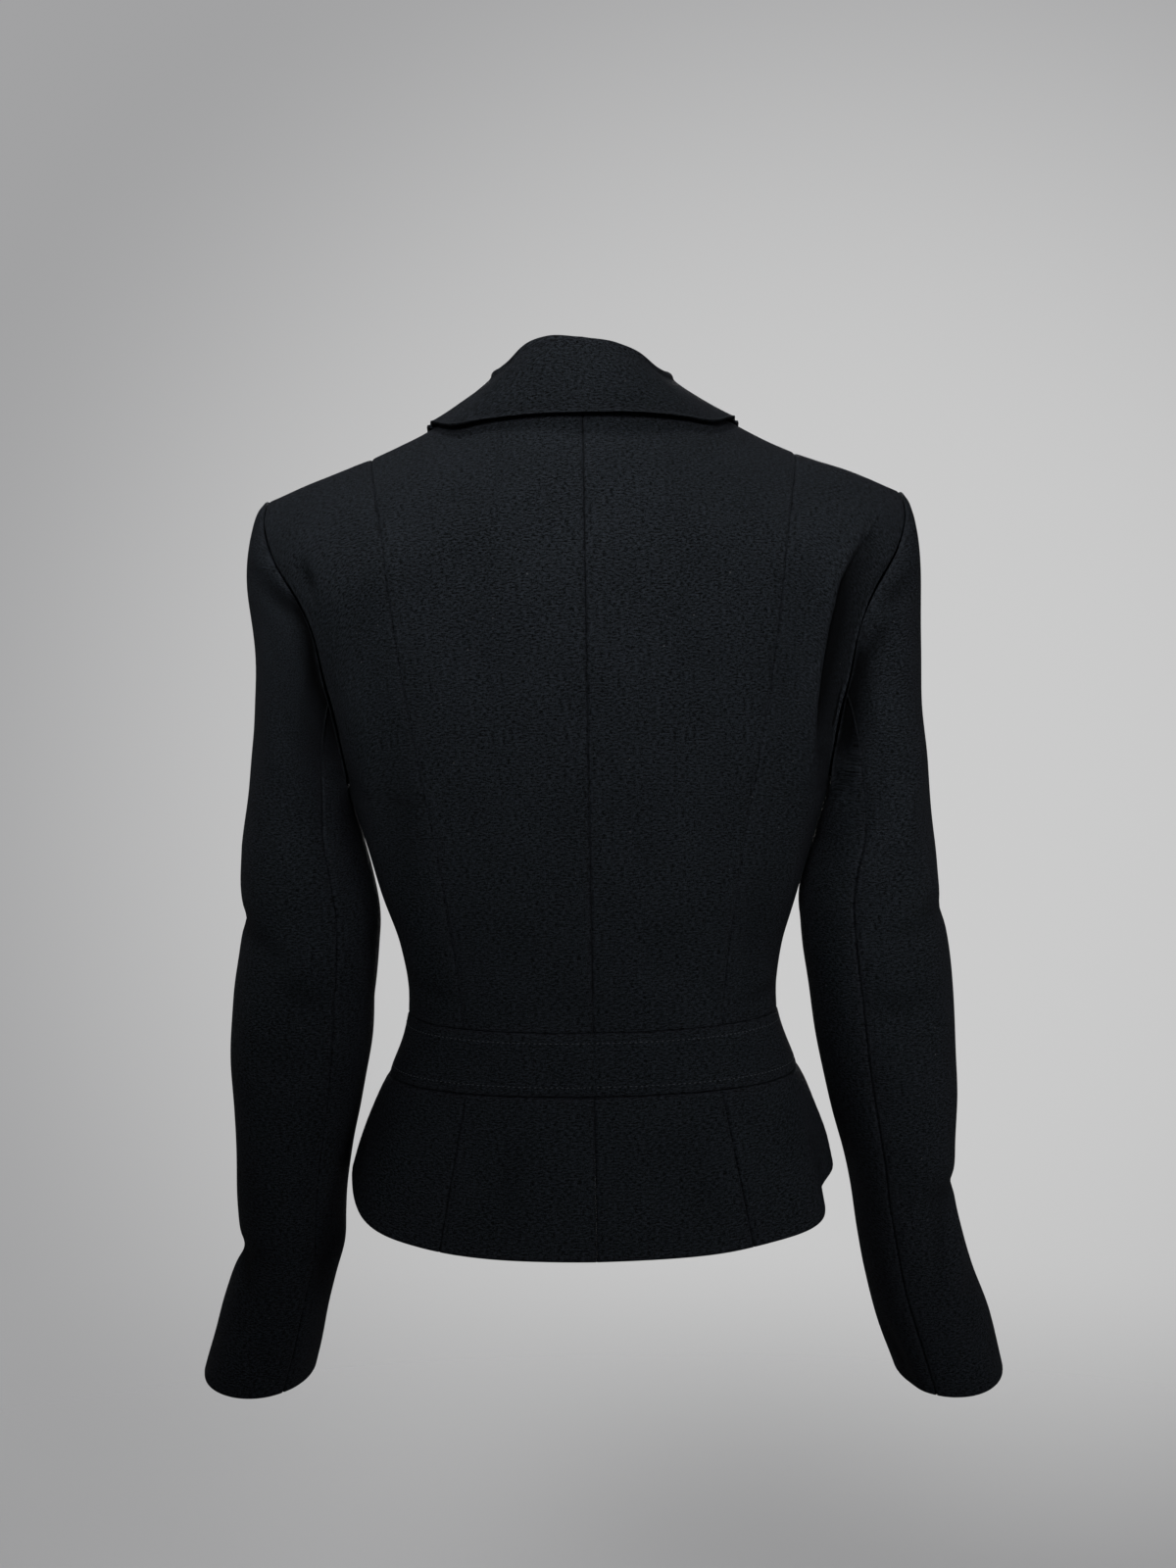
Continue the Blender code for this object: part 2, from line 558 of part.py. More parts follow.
def peplum_seam_angle(fall):
    x = read(PEPLUM_SEAM, "fall", "x", fall) / read(PEPLUM, "fall", "half_width", fall)
    return np.arcsin(x ** (read(PEPLUM, "fall", "squareness", fall) / 2))


def make_peplum(side):
    fall = np.linspace(1, 0, PEPLUM_ROWS + 1)
    seam = peplum_seam_angle(fall)
    half_width = read(PEPLUM, "fall", "half_width", fall)
    edge = np.pi + np.arcsin((FRONT_OVERLAP / half_width) ** (PEPLUM[0].squareness / 2))
    borders = {
        "back": (np.zeros_like(fall), seam),
        "side": (seam, np.full_like(fall, np.pi / 2)),
        "front": (np.full_like(fall, np.pi / 2), edge),
    }
    for part, (start, end) in borders.items():
        across = np.linspace(0, 1, PEPLUM_COLUMNS[part] + 1)[None]
        angle = start[:, None] + (end - start)[:, None] * across
        down = fall[:, None] + np.zeros_like(angle)
        normals = peplum_normal(side, angle, down)
        outside = peplum_point(side, angle, down)
        if part == "front" and side == "right":
            clear = ease(*OVERLAP_FADE, outside[..., 0])
            level = unit(normals * np.array([1.0, 1.0, 0.0]))
            outside = outside + level * ((CLOTH + LAYER_GAP) * (1 - clear))[..., None]
        wall(f"peplum_{part}_{side}", side, drawn_in(outside), normals)


# Sleeves
def sleeve_foot(side, steps, front):
    """Start of the sleeve on one armhole edge, a seam gap clear of the body panel."""
    lines = armhole_line(steps, front)
    points = body_point(side, lines[:, 0], lines[:, 1])
    normals = body_normal(side, lines[:, 0], lines[:, 1])
    nudge = 0.01
    before = armhole_line(np.clip(steps - nudge, 0, 1), front)
    after = armhole_line(np.clip(steps + nudge, 0, 1), front)
    tangents = body_point(side, after[:, 0], after[:, 1]) - body_point(side, before[:, 0], before[:, 1])
    outward = unit(np.cross(normals, tangents if front else -tangents))
    aside = ARMHOLE_GAP + UNDERARM_GAP * (1 - ease(0.0, 0.4, steps))
    return points + ARMHOLE_GAP * outward + aside[:, None] * normals


def sleeve_feet(side):
    """Start of each column: from the front seam over the shoulder tip and back under the arm."""
    steps = np.linspace(0, 1, ARMHOLE_ROWS + 1)
    up_front = sleeve_foot(side, steps[UNDERARM_ROWS:], front=True)
    down_back = sleeve_foot(side, steps[:-1][::-1], front=False)
    under_front = sleeve_foot(side, steps[1:UNDERARM_ROWS], front=True)
    return np.concatenate((up_front, down_back, under_front))


def sleeve_ring(side, degrees, z):
    """Points of one section of the sleeve, on the right half."""
    table, turn = SLEEVES[side], np.radians(degrees)
    outer, inner = read(table, "z", "outer_x", z), read(table, "z", "inner_x", z)
    x = (outer + inner) / 2 + (outer - inner) / 2 * np.cos(turn)
    reach = -read(table, "z", "half_depth", z) * np.sin(turn)
    y = read(table, "z", "centre_y", z) + reach
    return np.stack((x, y, z + read(table, "z", "lean", z) * reach), axis=-1)


def sleeve_cap(side, start, degrees, share):
    """Curve from the armhole (0) to the first level section (1), rounding over the sleeve head."""
    end = sleeve_ring(side, degrees, np.full(len(degrees), SLEEVES[side][-1].z))
    under = (1 - np.cos(np.radians(degrees))) / 2
    turn = np.radians(degrees)
    leave = np.stack((1 - CAP_DROOP * under, -CAP_FULL * np.sin(turn), CAP_RISE - under), axis=-1)
    chord = np.linalg.norm(end - start, axis=-1, keepdims=True)
    leave = unit(leave) * chord * CAP_LEAVE
    spread = CAP_SPREAD * np.cos(turn)
    arrive = np.stack((spread, np.zeros_like(spread), np.full_like(spread, -CAP_ARRIVE)), axis=-1) * chord
    t = share
    first = (1 + 2 * t) * (1 - t) ** 2 * start + t * (1 - t) ** 2 * leave
    return first + t * t * (3 - 2 * t) * end + t * t * (t - 1) * arrive


def below_head(side, points):
    """The rows of a sleeve, drawn in on the outside below its rounded head."""
    outer = ease(*DIP_FROM, points[..., 0])
    dip = SLEEVE_DIP[side] * outer * np.exp(-((points[..., 2] - DIP_Z) / DIP_REACH) ** 2)
    return points - dip[..., None] * np.array([1.0, 0.0, 0.0])


def make_sleeve(side):
    table = SLEEVES[side]
    back_seam = SLEEVE_BACK_SEAM[side]
    top_count, under_count = 2 * (ARMHOLE_ROWS - UNDERARM_ROWS), 2 * UNDERARM_ROWS
    top = np.linspace(SLEEVE_FRONT_SEAM, back_seam, top_count + 1)
    under = np.linspace(back_seam, 360 + SLEEVE_FRONT_SEAM, under_count + 1)
    degrees = np.concatenate((top[:-1], under[:-1]))
    feet = sleeve_feet(side)
    cap_shares = np.linspace(0, 1, CAP_ROWS + 1) ** CAP_CROWDING
    arm_z = np.linspace(table[-1].z, table[0].z, ARM_ROWS + 1)[1:]
    rows = [sleeve_cap(side, feet, degrees, share) for share in cap_shares]
    rows += [sleeve_ring(side, degrees, np.full(len(degrees), z)) for z in arm_z]
    outside = below_head(side, np.array(rows))
    along = np.roll(outside, -1, axis=1) - np.roll(outside, 1, axis=1)
    normals = unit(np.cross(along, np.gradient(outside, axis=0)))
    columns = {
        "top": np.arange(top_count + 1),
        "under": np.arange(top_count, top_count + under_count + 1) % len(degrees),
    }
    for part, pick in columns.items():
        wall(f"sleeve_{part}_{side}", side, drawn_in(outside[:, pick], "first last"), normals[:, pick])


# Collar
def collar_foot(along):
    """Foot of the collar stand on the neckline, and the level direction away from the neck."""
    if along <= 1.0:
        line = back_neckline(np.array([along]))
    else:
        top = ridge_z(NECK_HALF_WIDTH)
        z = np.array([top + (GORGE_Z - top) * (along - 1.0)])
        line = np.stack((angle_at(roll_x(z), z, front=True), z), axis=-1)
    foot = body_point("", line[:, 0], line[:, 1])[0]
    away = unit(foot * np.array([1.0, 1.0, 0.0]))
    return foot, away


def collar_section(place):
    """Stand, rolled top and fall of the collar at a place along the neckline, made for the right half."""
    along = abs(place)
    foot, away = collar_foot(along)
    up = np.array([0.0, 0.0, 1.0])
    lean = COLLAR_LEAN * np.sin(np.pi * min(along / COLLAR_LEAN_END, 1.0)) * np.sign(place)
    stand = float(read(COLLAR, "along", "stand", along)) - lean
    foot = foot + up * COLLAR_RISE - away * CLOTH / 2
    roll = COLLAR_ROLL
    section = [
        foot,
        foot + up * (stand - roll),
        foot + up * (stand - 0.3 * roll) + away * 0.3 * roll,
        foot + up * stand + away * roll,
        foot + up * (stand - 0.3 * roll) + away * 1.7 * roll,
        foot + up * (stand - 1.5 * roll) + away * 2.3 * roll,
    ]
    edge = collar_edge(along)
    shoulder = section[-1]
    outward = unit(away + up)
    most_bow = float(read(COLLAR, "along", "bow", along))
    for share in COLLAR_FALL_SHARES:
        bow = most_bow * np.sin(np.pi * share)
        section.append(shoulder + (edge - shoulder) * share + outward * bow)
    return np.array(section)


def collar_edge(along):
    """Outer edge of the collar, standing off the body cloth."""
    x = read(COLLAR, "along", "edge_x", along)
    z = np.minimum(read(COLLAR, "along", "edge_z", along), ridge_z(x))
    angle = angle_at(x, z, front=along >= 1.0)
    angle, z = np.atleast_1d(angle), np.atleast_1d(z)
    off = float(read(COLLAR, "along", "stand_off", along))
    return (body_point("", angle, z) + body_normal("", angle, z) * off)[0]


def make_collar():
    back = np.linspace(0, 1, NECK_COLUMNS + 1)
    front = np.linspace(1, 2, COLLAR_FRONT_STATIONS + 1)
    half = np.concatenate((back, front[1:]))
    along = np.concatenate((-half[:0:-1], half))
    sections = [mirrored(collar_section(a), "right" if a >= 0 else "left") for a in along]
    outside = np.stack(sections, axis=1)
    normals = unit(np.cross(np.gradient(outside, axis=1), np.gradient(outside, axis=0)))
    wall("collar", "right", outside, normals)


# Buttons
def make_buttons():
    """Plain turned discs with a raised rim, along the centre front."""
    for number, height in enumerate(BUTTON_HEIGHTS, start=1):
        mesh = bmesh.new()
        points = [Vector((r * BUTTON_RADIUS, 0.0, h * BUTTON_HEIGHT)) for r, h in BUTTON_PROFILE]
        verts = [mesh.verts.new(p) for p in points]
        edges = [mesh.edges.new(pair) for pair in zip(verts, verts[1:])]
        bmesh.ops.spin(mesh, geom=verts + edges, cent=(0, 0, 0), axis=(0, 0, 1), angle=2 * np.pi,
                       steps=BUTTON_STEPS, use_merge=True)
        bmesh.ops.remove_doubles(mesh, verts=mesh.verts[:], dist=1e-6)
        bmesh.ops.recalc_face_normals(mesh, faces=mesh.faces[:])
        bmesh.ops.triangulate(mesh, faces=mesh.faces[:])
        data = bpy.data.meshes.new(f"button_{number}")
        mesh.to_mesh(data)
        mesh.free()
        button = add_object(f"button_{number}", data, HORN)
        centre, z = np.array([np.pi]), np.array([height])
        normal = body_normal("right", centre, z)[0]
        on_band = height < WAIST_TOP_Z
        lift = CLOTH + LAYER_GAP + 2 * SEAM_GAP + (BAND_LIFT if on_band else 0.0)
        place = body_point("right", centre, z)[0] + normal * lift
        facing = Vector(normal).to_track_quat("Z", "Y").to_matrix().to_4x4()
        button.matrix_world = Matrix.Translation(place) @ facing


for old in list(bpy.data.objects):
    bpy.data.objects.remove(old, do_unlink=True)

blazer = bpy.data.objects.new("blazer", None)
bpy.context.scene.collection.objects.link(blazer)
for half in ("left", "right"):
    make_back(half)
    make_side_back(half)
    make_front(half)
    make_lapel(half)
    make_waistband(half)
    make_peplum(half)
    make_sleeve(half)
make_collar()
make_buttons()
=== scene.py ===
# %% [markdown]
# # A cropped blazer in black wool crepe
# This lesson dresses the imported blazer for its picture. The frame comes first: the solids that
# were packed, in metres, with +Z up, the back of the jacket towards -Y and the origin
# in the middle of the neck opening. Each solid is a plain wall of cloth. Every one of them gets a
# finer shell here, made from the same sections, with sunk seams, creases and a woven finish.

# %% Load the frame
import json
from collections import namedtuple

import bpy
import numpy as np
from mathutils import Matrix, Vector

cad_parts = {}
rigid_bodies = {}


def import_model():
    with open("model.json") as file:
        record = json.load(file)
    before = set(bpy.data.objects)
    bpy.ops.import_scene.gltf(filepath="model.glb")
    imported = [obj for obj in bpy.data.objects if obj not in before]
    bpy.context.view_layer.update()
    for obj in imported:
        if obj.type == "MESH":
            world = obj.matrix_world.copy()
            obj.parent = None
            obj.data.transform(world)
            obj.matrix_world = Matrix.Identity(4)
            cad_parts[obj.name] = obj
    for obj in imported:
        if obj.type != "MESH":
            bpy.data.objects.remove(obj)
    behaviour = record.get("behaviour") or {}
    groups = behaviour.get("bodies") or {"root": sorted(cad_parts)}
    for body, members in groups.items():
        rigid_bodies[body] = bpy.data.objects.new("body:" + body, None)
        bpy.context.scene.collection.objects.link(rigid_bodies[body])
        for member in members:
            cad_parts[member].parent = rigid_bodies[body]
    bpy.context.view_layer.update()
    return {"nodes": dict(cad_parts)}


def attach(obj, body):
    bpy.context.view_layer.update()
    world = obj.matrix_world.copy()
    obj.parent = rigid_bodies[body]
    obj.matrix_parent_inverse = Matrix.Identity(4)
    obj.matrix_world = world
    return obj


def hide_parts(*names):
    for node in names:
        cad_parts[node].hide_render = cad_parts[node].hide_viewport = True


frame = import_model()
scene = bpy.context.scene
print("frame:", len(frame["nodes"]), "solids")

# %% [markdown]
# ## Camera
# The picture was taken from behind, a little above the waist, with the lens tipped slightly down
# and the camera rolled by about a degree. The camera's matrix is put together from those three:
# a place, a tilt about X, and a roll about the line of sight.

# %% Camera
CAMERA_PLACE = (-0.0006, -1.5, -0.139)
CAMERA_TILT, CAMERA_ROLL = 85.24, -0.95
LENS, SENSOR = 51.37, 36.0

camera_data = bpy.data.cameras.new("photo_camera")
camera_data.lens, camera_data.sensor_width = LENS, SENSOR
camera = bpy.data.objects.new("photo_camera", camera_data)
tilt = Matrix.Rotation(np.radians(CAMERA_TILT), 4, "X") @ Matrix.Rotation(np.radians(CAMERA_ROLL), 4, "Z")
camera.matrix_world = Matrix.Translation(CAMERA_PLACE) @ tilt
scene.collection.objects.link(camera)
scene.camera = camera
print("camera at", CAMERA_PLACE)

# %% [markdown]
# ## Shader maths as Python
# A material is a graph of nodes. Wiring one by hand hides the sum that it stands for, so a small
# class wraps an output socket and lets Python's own operators add the Math nodes. Any other node
# comes from its one method, `node`, which sets the node's settings first and its sockets after.


# %% Values that add nodes
class Value:
    """An output socket of a shader tree; arithmetic on it adds Math nodes."""

    def __init__(self, tree, socket=None):
        self.tree, self.socket = tree, socket

    def node(self, kind, settings=None, inputs=None, output=0):
        """A new node of the same tree, as the value of one of its outputs."""
        made = self.tree.nodes.new(kind)
        for name, setting in (settings or {}).items():
            setattr(made, name, setting)
        for name, given in (inputs or {}).items():
            if isinstance(given, Value):
                self.tree.links.new(given.socket, made.inputs[name])
            else:
                made.inputs[name].default_value = given
        return Value(self.tree, made.outputs[output])

    def output(self, name):
        """Another output of the node that this value comes from."""
        return Value(self.tree, self.socket.node.outputs[name])

    def maths(self, operation, first, second):
        return self.node("ShaderNodeMath", {"operation": operation}, {0: first, 1: second})

    def __add__(self, other):
        return self.maths("ADD", self, other)

    def __radd__(self, other):
        return self.maths("ADD", other, self)

    def __sub__(self, other):
        return self.maths("SUBTRACT", self, other)

    def __rsub__(self, other):
        return self.maths("SUBTRACT", other, self)

    def __mul__(self, other):
        return self.maths("MULTIPLY", self, other)

    def __rmul__(self, other):
        return self.maths("MULTIPLY", other, self)

    def __lt__(self, other):
        return self.maths("LESS_THAN", self, other)


def new_finish(name, **constants):
    """A material with its constant sockets set, and the start of its tree."""
    made = bpy.data.materials.new(name)
    made.use_nodes = True
    shader = made.node_tree.nodes["Principled BSDF"]
    for socket, number in constants.items():
        shader.inputs[socket.replace("_", " ")].default_value = number
    return made, shader, Value(made.node_tree)


def feed(shader, socket, value):
    value.tree.links.new(value.socket, shader.inputs[socket])


def noise(place, scale, detail, output=0, **more):
    """Fractal noise at a place."""
    inputs = {"Vector": place, "Scale": scale, "Detail": detail, **more}
    return place.node("ShaderNodeTexNoise", None, inputs, output)


def relief(height, strength, depth):
    """Normals of a bumpy surface."""
    inputs = {"Height": height, "Strength": strength, "Distance": depth}
    return height.node("ShaderNodeBump", None, inputs, "Normal")


def blend(factor, first, second):
    """A colour between two others."""
    inputs = {"Factor": factor, "A": first, "B": second}
    return factor.node("ShaderNodeMix", {"data_type": "RGBA"}, inputs, "Result")


print("shader class ready")

# %% [markdown]
# ## Light and floor
# The studio is pale and even: a soft lamp above the camera, one overhead for the shoulders, a
# weaker one from the right, another over the front so that the hidden side can be seen too, and a
# pale grey sky that lifts the shadows. Each lamp is an ellipse with a grid that narrows its
# spread, so the shoulders and the upper back are lit well and the light dies away towards the hem
# and the cuffs.
# The wearer's feet would be far below the hem, so the floor lies there. It thins out towards its
# rim with a transparent mix, and no edge of it shows against the sky.


# %% Light
def rows_of(columns, *rows):
    """Rows of a table under named columns."""
    row = namedtuple("Row", columns)
    return [row(*values) for values in rows]


SKY_FAR, SKY_NEAR = (0.36, 0.36, 0.365), (0.60, 0.60, 0.60)
SKY_GLOW, SKY_GLOW_EDGE = (0.12, 0.985, -0.10), 0.90   # where the sky is palest, and how far that reaches
LAMPS = rows_of(
    "name place target width height spread power",
    ("key", (-0.20, -1.50, 0.46), (-0.03, -0.10, -0.09), 1.0, 0.4, 26.0, 2.85),
    ("top", (-0.20, -0.06, 1.45), (-0.03, -0.06, -0.06), 0.6, 0.6, 30.0, 2.0),
    ("side", (1.10, -1.20, 0.20), (0.25, 0.0, -0.46), 0.6, 0.6, 34.0, 1.5),
    ("front", (0.10, 1.60, 0.12), (0.02, 0.10, -0.20), 0.8, 0.6, 34.0, 2.6),
)

world = bpy.data.worlds.new("studio")
world.use_nodes = True
sky = Value(world.node_tree)
direction = sky.node("ShaderNodeTexCoord", output="Generated")
towards = sky.node("ShaderNodeVectorMath", {"operation": "DOT_PRODUCT"},
                   {0: direction, 1: SKY_GLOW}, "Value")
glow = sky.node("ShaderNodeMapRange", {"interpolation_type": "SMOOTHSTEP"},
                {"Value": towards, "From Min": SKY_GLOW_EDGE, "From Max": 1.0})
sky_colour = blend(glow, (*SKY_FAR, 1.0), (*SKY_NEAR, 1.0))
world.node_tree.links.new(sky_colour.socket, world.node_tree.nodes["Background"].inputs["Color"])
scene.world = world
scene.view_settings.view_transform = "Standard"

for lamp in LAMPS:
    data = bpy.data.lights.new(lamp.name, "AREA")
    data.shape, data.size, data.size_y, data.energy = "ELLIPSE", lamp.width, lamp.height, lamp.power
    data.spread = np.radians(lamp.spread)
    holder = bpy.data.objects.new(lamp.name, data)
    aim = (Vector(lamp.target) - Vector(lamp.place)).to_track_quat("-Z", "Y")
    holder.matrix_world = Matrix.Translation(lamp.place) @ aim.to_matrix().to_4x4()
    scene.collection.objects.link(holder)
print("lamps:", ", ".join(lamp.name for lamp in LAMPS))

# %% Floor
FLOOR_Z, FLOOR_RADIUS, FLOOR_SIDES = -1.45, 3.0, 96
FLOOR_SOLID = 0.35
FLOOR_COLOUR = (0.76, 0.76, 0.76, 1.0)

turns = np.linspace(0, 2 * np.pi, FLOOR_SIDES, endpoint=False)
rim = [(FLOOR_RADIUS * np.cos(t), FLOOR_RADIUS * np.sin(t), FLOOR_Z) for t in turns]
floor_mesh = bpy.data.meshes.new("floor")
floor_mesh.from_pydata(rim, [], [tuple(range(FLOOR_SIDES))])
floor = bpy.data.objects.new("floor", floor_mesh)
scene.collection.objects.link(floor)

floor_finish, floor_shader, tree = new_finish("pale_floor", Base_Color=FLOOR_COLOUR, Roughness=0.9)
place = tree.node("ShaderNodeTexCoord", output="Object")
flat_place = tree.node("ShaderNodeVectorMath", {"operation": "MULTIPLY"}, {0: place, 1: (1.0, 1.0, 0.0)})
reach = tree.node("ShaderNodeVectorMath", {"operation": "LENGTH"}, {0: flat_place}, "Value")
shown = tree.node("ShaderNodeMapRange", {"interpolation_type": "SMOOTHSTEP"},
                  {"Value": reach, "From Min": FLOOR_SOLID * FLOOR_RADIUS, "From Max": FLOOR_RADIUS,
                   "To Min": 1.0, "To Max": 0.0})
feed(floor_shader, "Alpha", shown)
floor_mesh.materials.append(floor_finish)
print("floor at", FLOOR_Z)

# %% [markdown]
# ## Crepe
# Wool crepe is woven from hard-twisted yarn that pulls the cloth into a fine pebbled crinkle. It
# takes the light softly: almost black, a touch of blue, hardly any shine. An image of the weave
# would repeat and blur, so the threads come from two waves over the piece's own cut (its UV map is
# in metres of cloth), broken up by noise. The crinkle is noise drawn out along the weft. A few
# specks of lint sit on top, as on any worn black jacket. Deep in a fold shade is painted into the
# colour, by an attribute of the mesh. What varies feeds only the colour, the roughness and a bump.

# %% Crepe finish
CREPE_DARK, CREPE_LIGHT = (0.0003, 0.0004, 0.0005, 1.0), (0.0082, 0.0096, 0.0118, 1.0)
LINT = (0.085, 0.085, 0.088, 1.0)
THREADS = 1500.0                 # threads of the weave in a metre, each way
CRINKLE = (370.0, 1000.0, 1.0)   # crinkles in a metre, across and along the cloth
PEBBLES, CLOUDS = 1500.0, 24.0   # pebbles and cloudy patches in a metre
WANDERS, WANDER_REACH = 260.0, 0.0011   # bends of a thread in a metre, and how far it strays
WEAVE_RELIEF, CRINKLE_RELIEF, PEBBLE_RELIEF = 0.10, 0.62, 0.36
CRINKLE_TONE, PEBBLE_TONE, CLOUD_TONE, TONE_FROM, TONE_TO = 0.56, 0.40, 0.04, 0.43, 0.57
LINT_CELLS, LINT_SIZE, LINT_SHARE, LINT_COVER = 44.0, 0.022, 0.24, 0.3
# painted shade: share by which the cloth is painted darker in the deepest creases
HOLLOW_SHADE = 0.92              # soft lamps reach into a hollow too well, so its cloth is darkened
CREPE_BUMP, CREPE_BUMP_DEPTH = 0.8, 0.0020
CREPE_ROUGH, CREPE_ROUGHER = 0.84, 0.2


def crepe_finish(name):
    made, shader, tree = new_finish(name, Specular_IOR_Level=0.02)
    cut = tree.node("ShaderNodeTexCoord", output="UV")
    wander = noise(cut, WANDERS, 2.0, "Color")
    shift = tree.node("ShaderNodeVectorMath", {"operation": "SCALE"}, {0: wander, "Scale": WANDER_REACH})
    bent = tree.node("ShaderNodeVectorMath", {"operation": "ADD"}, {0: cut, 1: shift})
    across = tree.node("ShaderNodeSeparateXYZ", None, {0: bent}, "X")
    along = across.output("Y")
    warp = tree.node("ShaderNodeMath", {"operation": "SINE"}, {0: across * (2 * np.pi * THREADS)})
    weft = tree.node("ShaderNodeMath", {"operation": "SINE"}, {0: along * (2 * np.pi * THREADS)})
    drawn = tree.node("ShaderNodeVectorMath", {"operation": "MULTIPLY"}, {0: bent, 1: CRINKLE})
    crinkle = noise(drawn, 1.0, 3.0, Roughness=0.62)
    pebble = noise(cut, PEBBLES, 2.0)
    height = WEAVE_RELIEF * warp * weft + CRINKLE_RELIEF * crinkle + PEBBLE_RELIEF * pebble
    feed(shader, "Normal", relief(height, CREPE_BUMP, CREPE_BUMP_DEPTH))

    tone = CRINKLE_TONE * crinkle + PEBBLE_TONE * pebble + CLOUD_TONE * noise(cut, CLOUDS, 3.0)
    limits = {"Value": tone, "From Min": TONE_FROM, "From Max": TONE_TO}
    spread = tree.node("ShaderNodeMapRange", None, limits)
    # painted shade: the cloth's colour is darkened by the depth of its creases, standing in for shade the
    # lamps don't give
    painted_crease_shade = tree.node("ShaderNodeAttribute", {"attribute_name": "painted_crease_shade"}, output="Fac")
    cloth = blend(spread * (1.0 - HOLLOW_SHADE * painted_crease_shade), CREPE_DARK, CREPE_LIGHT)
    cell = {"Vector": cut, "Scale": LINT_CELLS}
    gap = tree.node("ShaderNodeTexVoronoi", {"voronoi_dimensions": "2D"}, cell, "Distance")
    chance = tree.node("ShaderNodeSeparateColor", None, {0: gap.output("Color")}, "Red")
    speck = (gap < LINT_SIZE * chance.output("Green")) * (chance < LINT_SHARE)
    feed(shader, "Base Color", blend(LINT_COVER * speck, cloth, LINT))
    feed(shader, "Roughness", CREPE_ROUGH + CREPE_ROUGHER * crinkle)
    return made


crepe = crepe_finish("black_crepe")
print("crepe:", len(crepe.node_tree.nodes), "nodes")

# %% [markdown]
# ## Thread and buttons
# Sewing thread is finer and a little glossier than the cloth, so single stitches catch the light.
# The buttons are plain black with a satin face, cloudy inside like horn.

# %% Thread and button finishes
THREAD_DARK, THREAD_LIGHT = (0.006, 0.007, 0.009, 1.0), (0.024, 0.026, 0.030, 1.0)
HORN_DARK, HORN_LIGHT = (0.006, 0.006, 0.006, 1.0), (0.030, 0.027, 0.024, 1.0)
TWISTS, HORN_CLOUDS, SCRATCHES = 2600.0, 130.0, 1800.0   # of each, in a metre
THREAD_ROUGH, THREAD_ROUGHER = 0.55, 0.2
HORN_BUMP, HORN_BUMP_DEPTH = 0.15, 0.0002
HORN_ROUGH, HORN_ROUGHER = 0.26, 0.18


def thread_finish():
    made, shader, tree = new_finish("black_thread", Specular_IOR_Level=0.15)
    twist = noise(tree.node("ShaderNodeTexCoord", output="Object"), TWISTS, 1.0)
    feed(shader, "Base Color", blend(twist, THREAD_DARK, THREAD_LIGHT))
    feed(shader, "Roughness", THREAD_ROUGH + THREAD_ROUGHER * twist)
    return made


def horn_finish():
    made, shader, tree = new_finish("black_horn", Specular_IOR_Level=0.5, Coat_Roughness=0.2)
    spot = tree.node("ShaderNodeTexCoord", output="Object")
    cloud = noise(spot, HORN_CLOUDS, 4.0, Distortion=1.2)
    scratch = noise(spot, SCRATCHES, 2.0)
    feed(shader, "Base Color", blend(cloud, HORN_DARK, HORN_LIGHT))
    feed(shader, "Roughness", HORN_ROUGH + HORN_ROUGHER * scratch)
    feed(shader, "Normal", relief(scratch, HORN_BUMP, HORN_BUMP_DEPTH))
    return made


thread = thread_finish()
horn = horn_finish()
print("finishes:", thread.name, horn.name)

# %% [markdown]
# ## The cut of the jacket
# The shells have to lie on the solids, so the sections that shaped the solids are set out again:
# level rings of the body and the sleeves, the ridge of the shoulders, and the lines where the
# pieces are sewn together. Each table is a few rows with named columns, and a smooth curve runs
# through the rows. Only the number of cells differs, since a picture needs far more of them.

# %% Sizes of the cloth and the openings
CLOTH, SEAM_GAP, LAYER_GAP = 0.0018, 0.0003, 0.0007
ARMHOLE_GAP, UNDERARM_GAP, UNDERARM_SHARE = 0.0005, 0.0010, 0.4
WAIST_TOP_Z, WAIST_BOTTOM_Z, BAND_LIFT = -0.416, -0.457, 0.0004
NECK_HALF_WIDTH, BACK_NECK_Z, SHOULDER_ROUND = 0.052, -0.008, 0.090
FRONT_OVERLAP, OVERLAP_FADE = 0.018, (0.038, 0.078)
BREAK_Z, GORGE_Z = -0.275, -0.050
LAPEL_COVERED, LAPEL_BREAK_CLEAR = 0.33, 0.004
ROLL_TURN_IN, ROLL_TURN_FADE = 0.0024, 0.010   # the front's edge stops short inside the lapel's roll
UNDERARM_ROW_Z, PRINCESS_TOP_X = -0.270, 0.141
LOW_SHARE, ROW_CROWDING = 5 / 13, 1.5   # share of a panel's rows below the underarm

BODY = rows_of(
    "z half_width back_depth front_depth squareness",
    (-0.457, 0.1375, 0.094, 0.097, 2.2),
    (-0.416, 0.1245, 0.093, 0.097, 2.2),
    (-0.370, 0.1285, 0.096, 0.104, 2.3),
    (-0.335, 0.1395, 0.102, 0.111, 2.4),
    (-0.300, 0.1495, 0.107, 0.117, 2.4),
    (-0.264, 0.1605, 0.112, 0.121, 2.4),
    (-0.214, 0.1780, 0.117, 0.121, 2.4),
    (-0.161, 0.1990, 0.118, 0.113, 2.4),
    (-0.112, 0.2210, 0.114, 0.101, 2.4),
    (-0.073, 0.2340, 0.105, 0.088, 2.4),
    (-0.030, 0.2450, 0.088, 0.070, 2.4),
    (0.030, 0.2550, 0.066, 0.050, 2.4),
)
SHOULDER = rows_of(
    "x z",
    (-0.018, 0.0245),
    (0.000, 0.0270),
    (0.018, 0.0245),
    (0.035, 0.0150),
    (0.052, 0.0035),
    (0.080, -0.0145),
    (0.110, -0.0315),
    (0.145, -0.0475),
    (0.178, -0.0592),
    (0.2125, -0.0735),
    (0.255, -0.090),
)
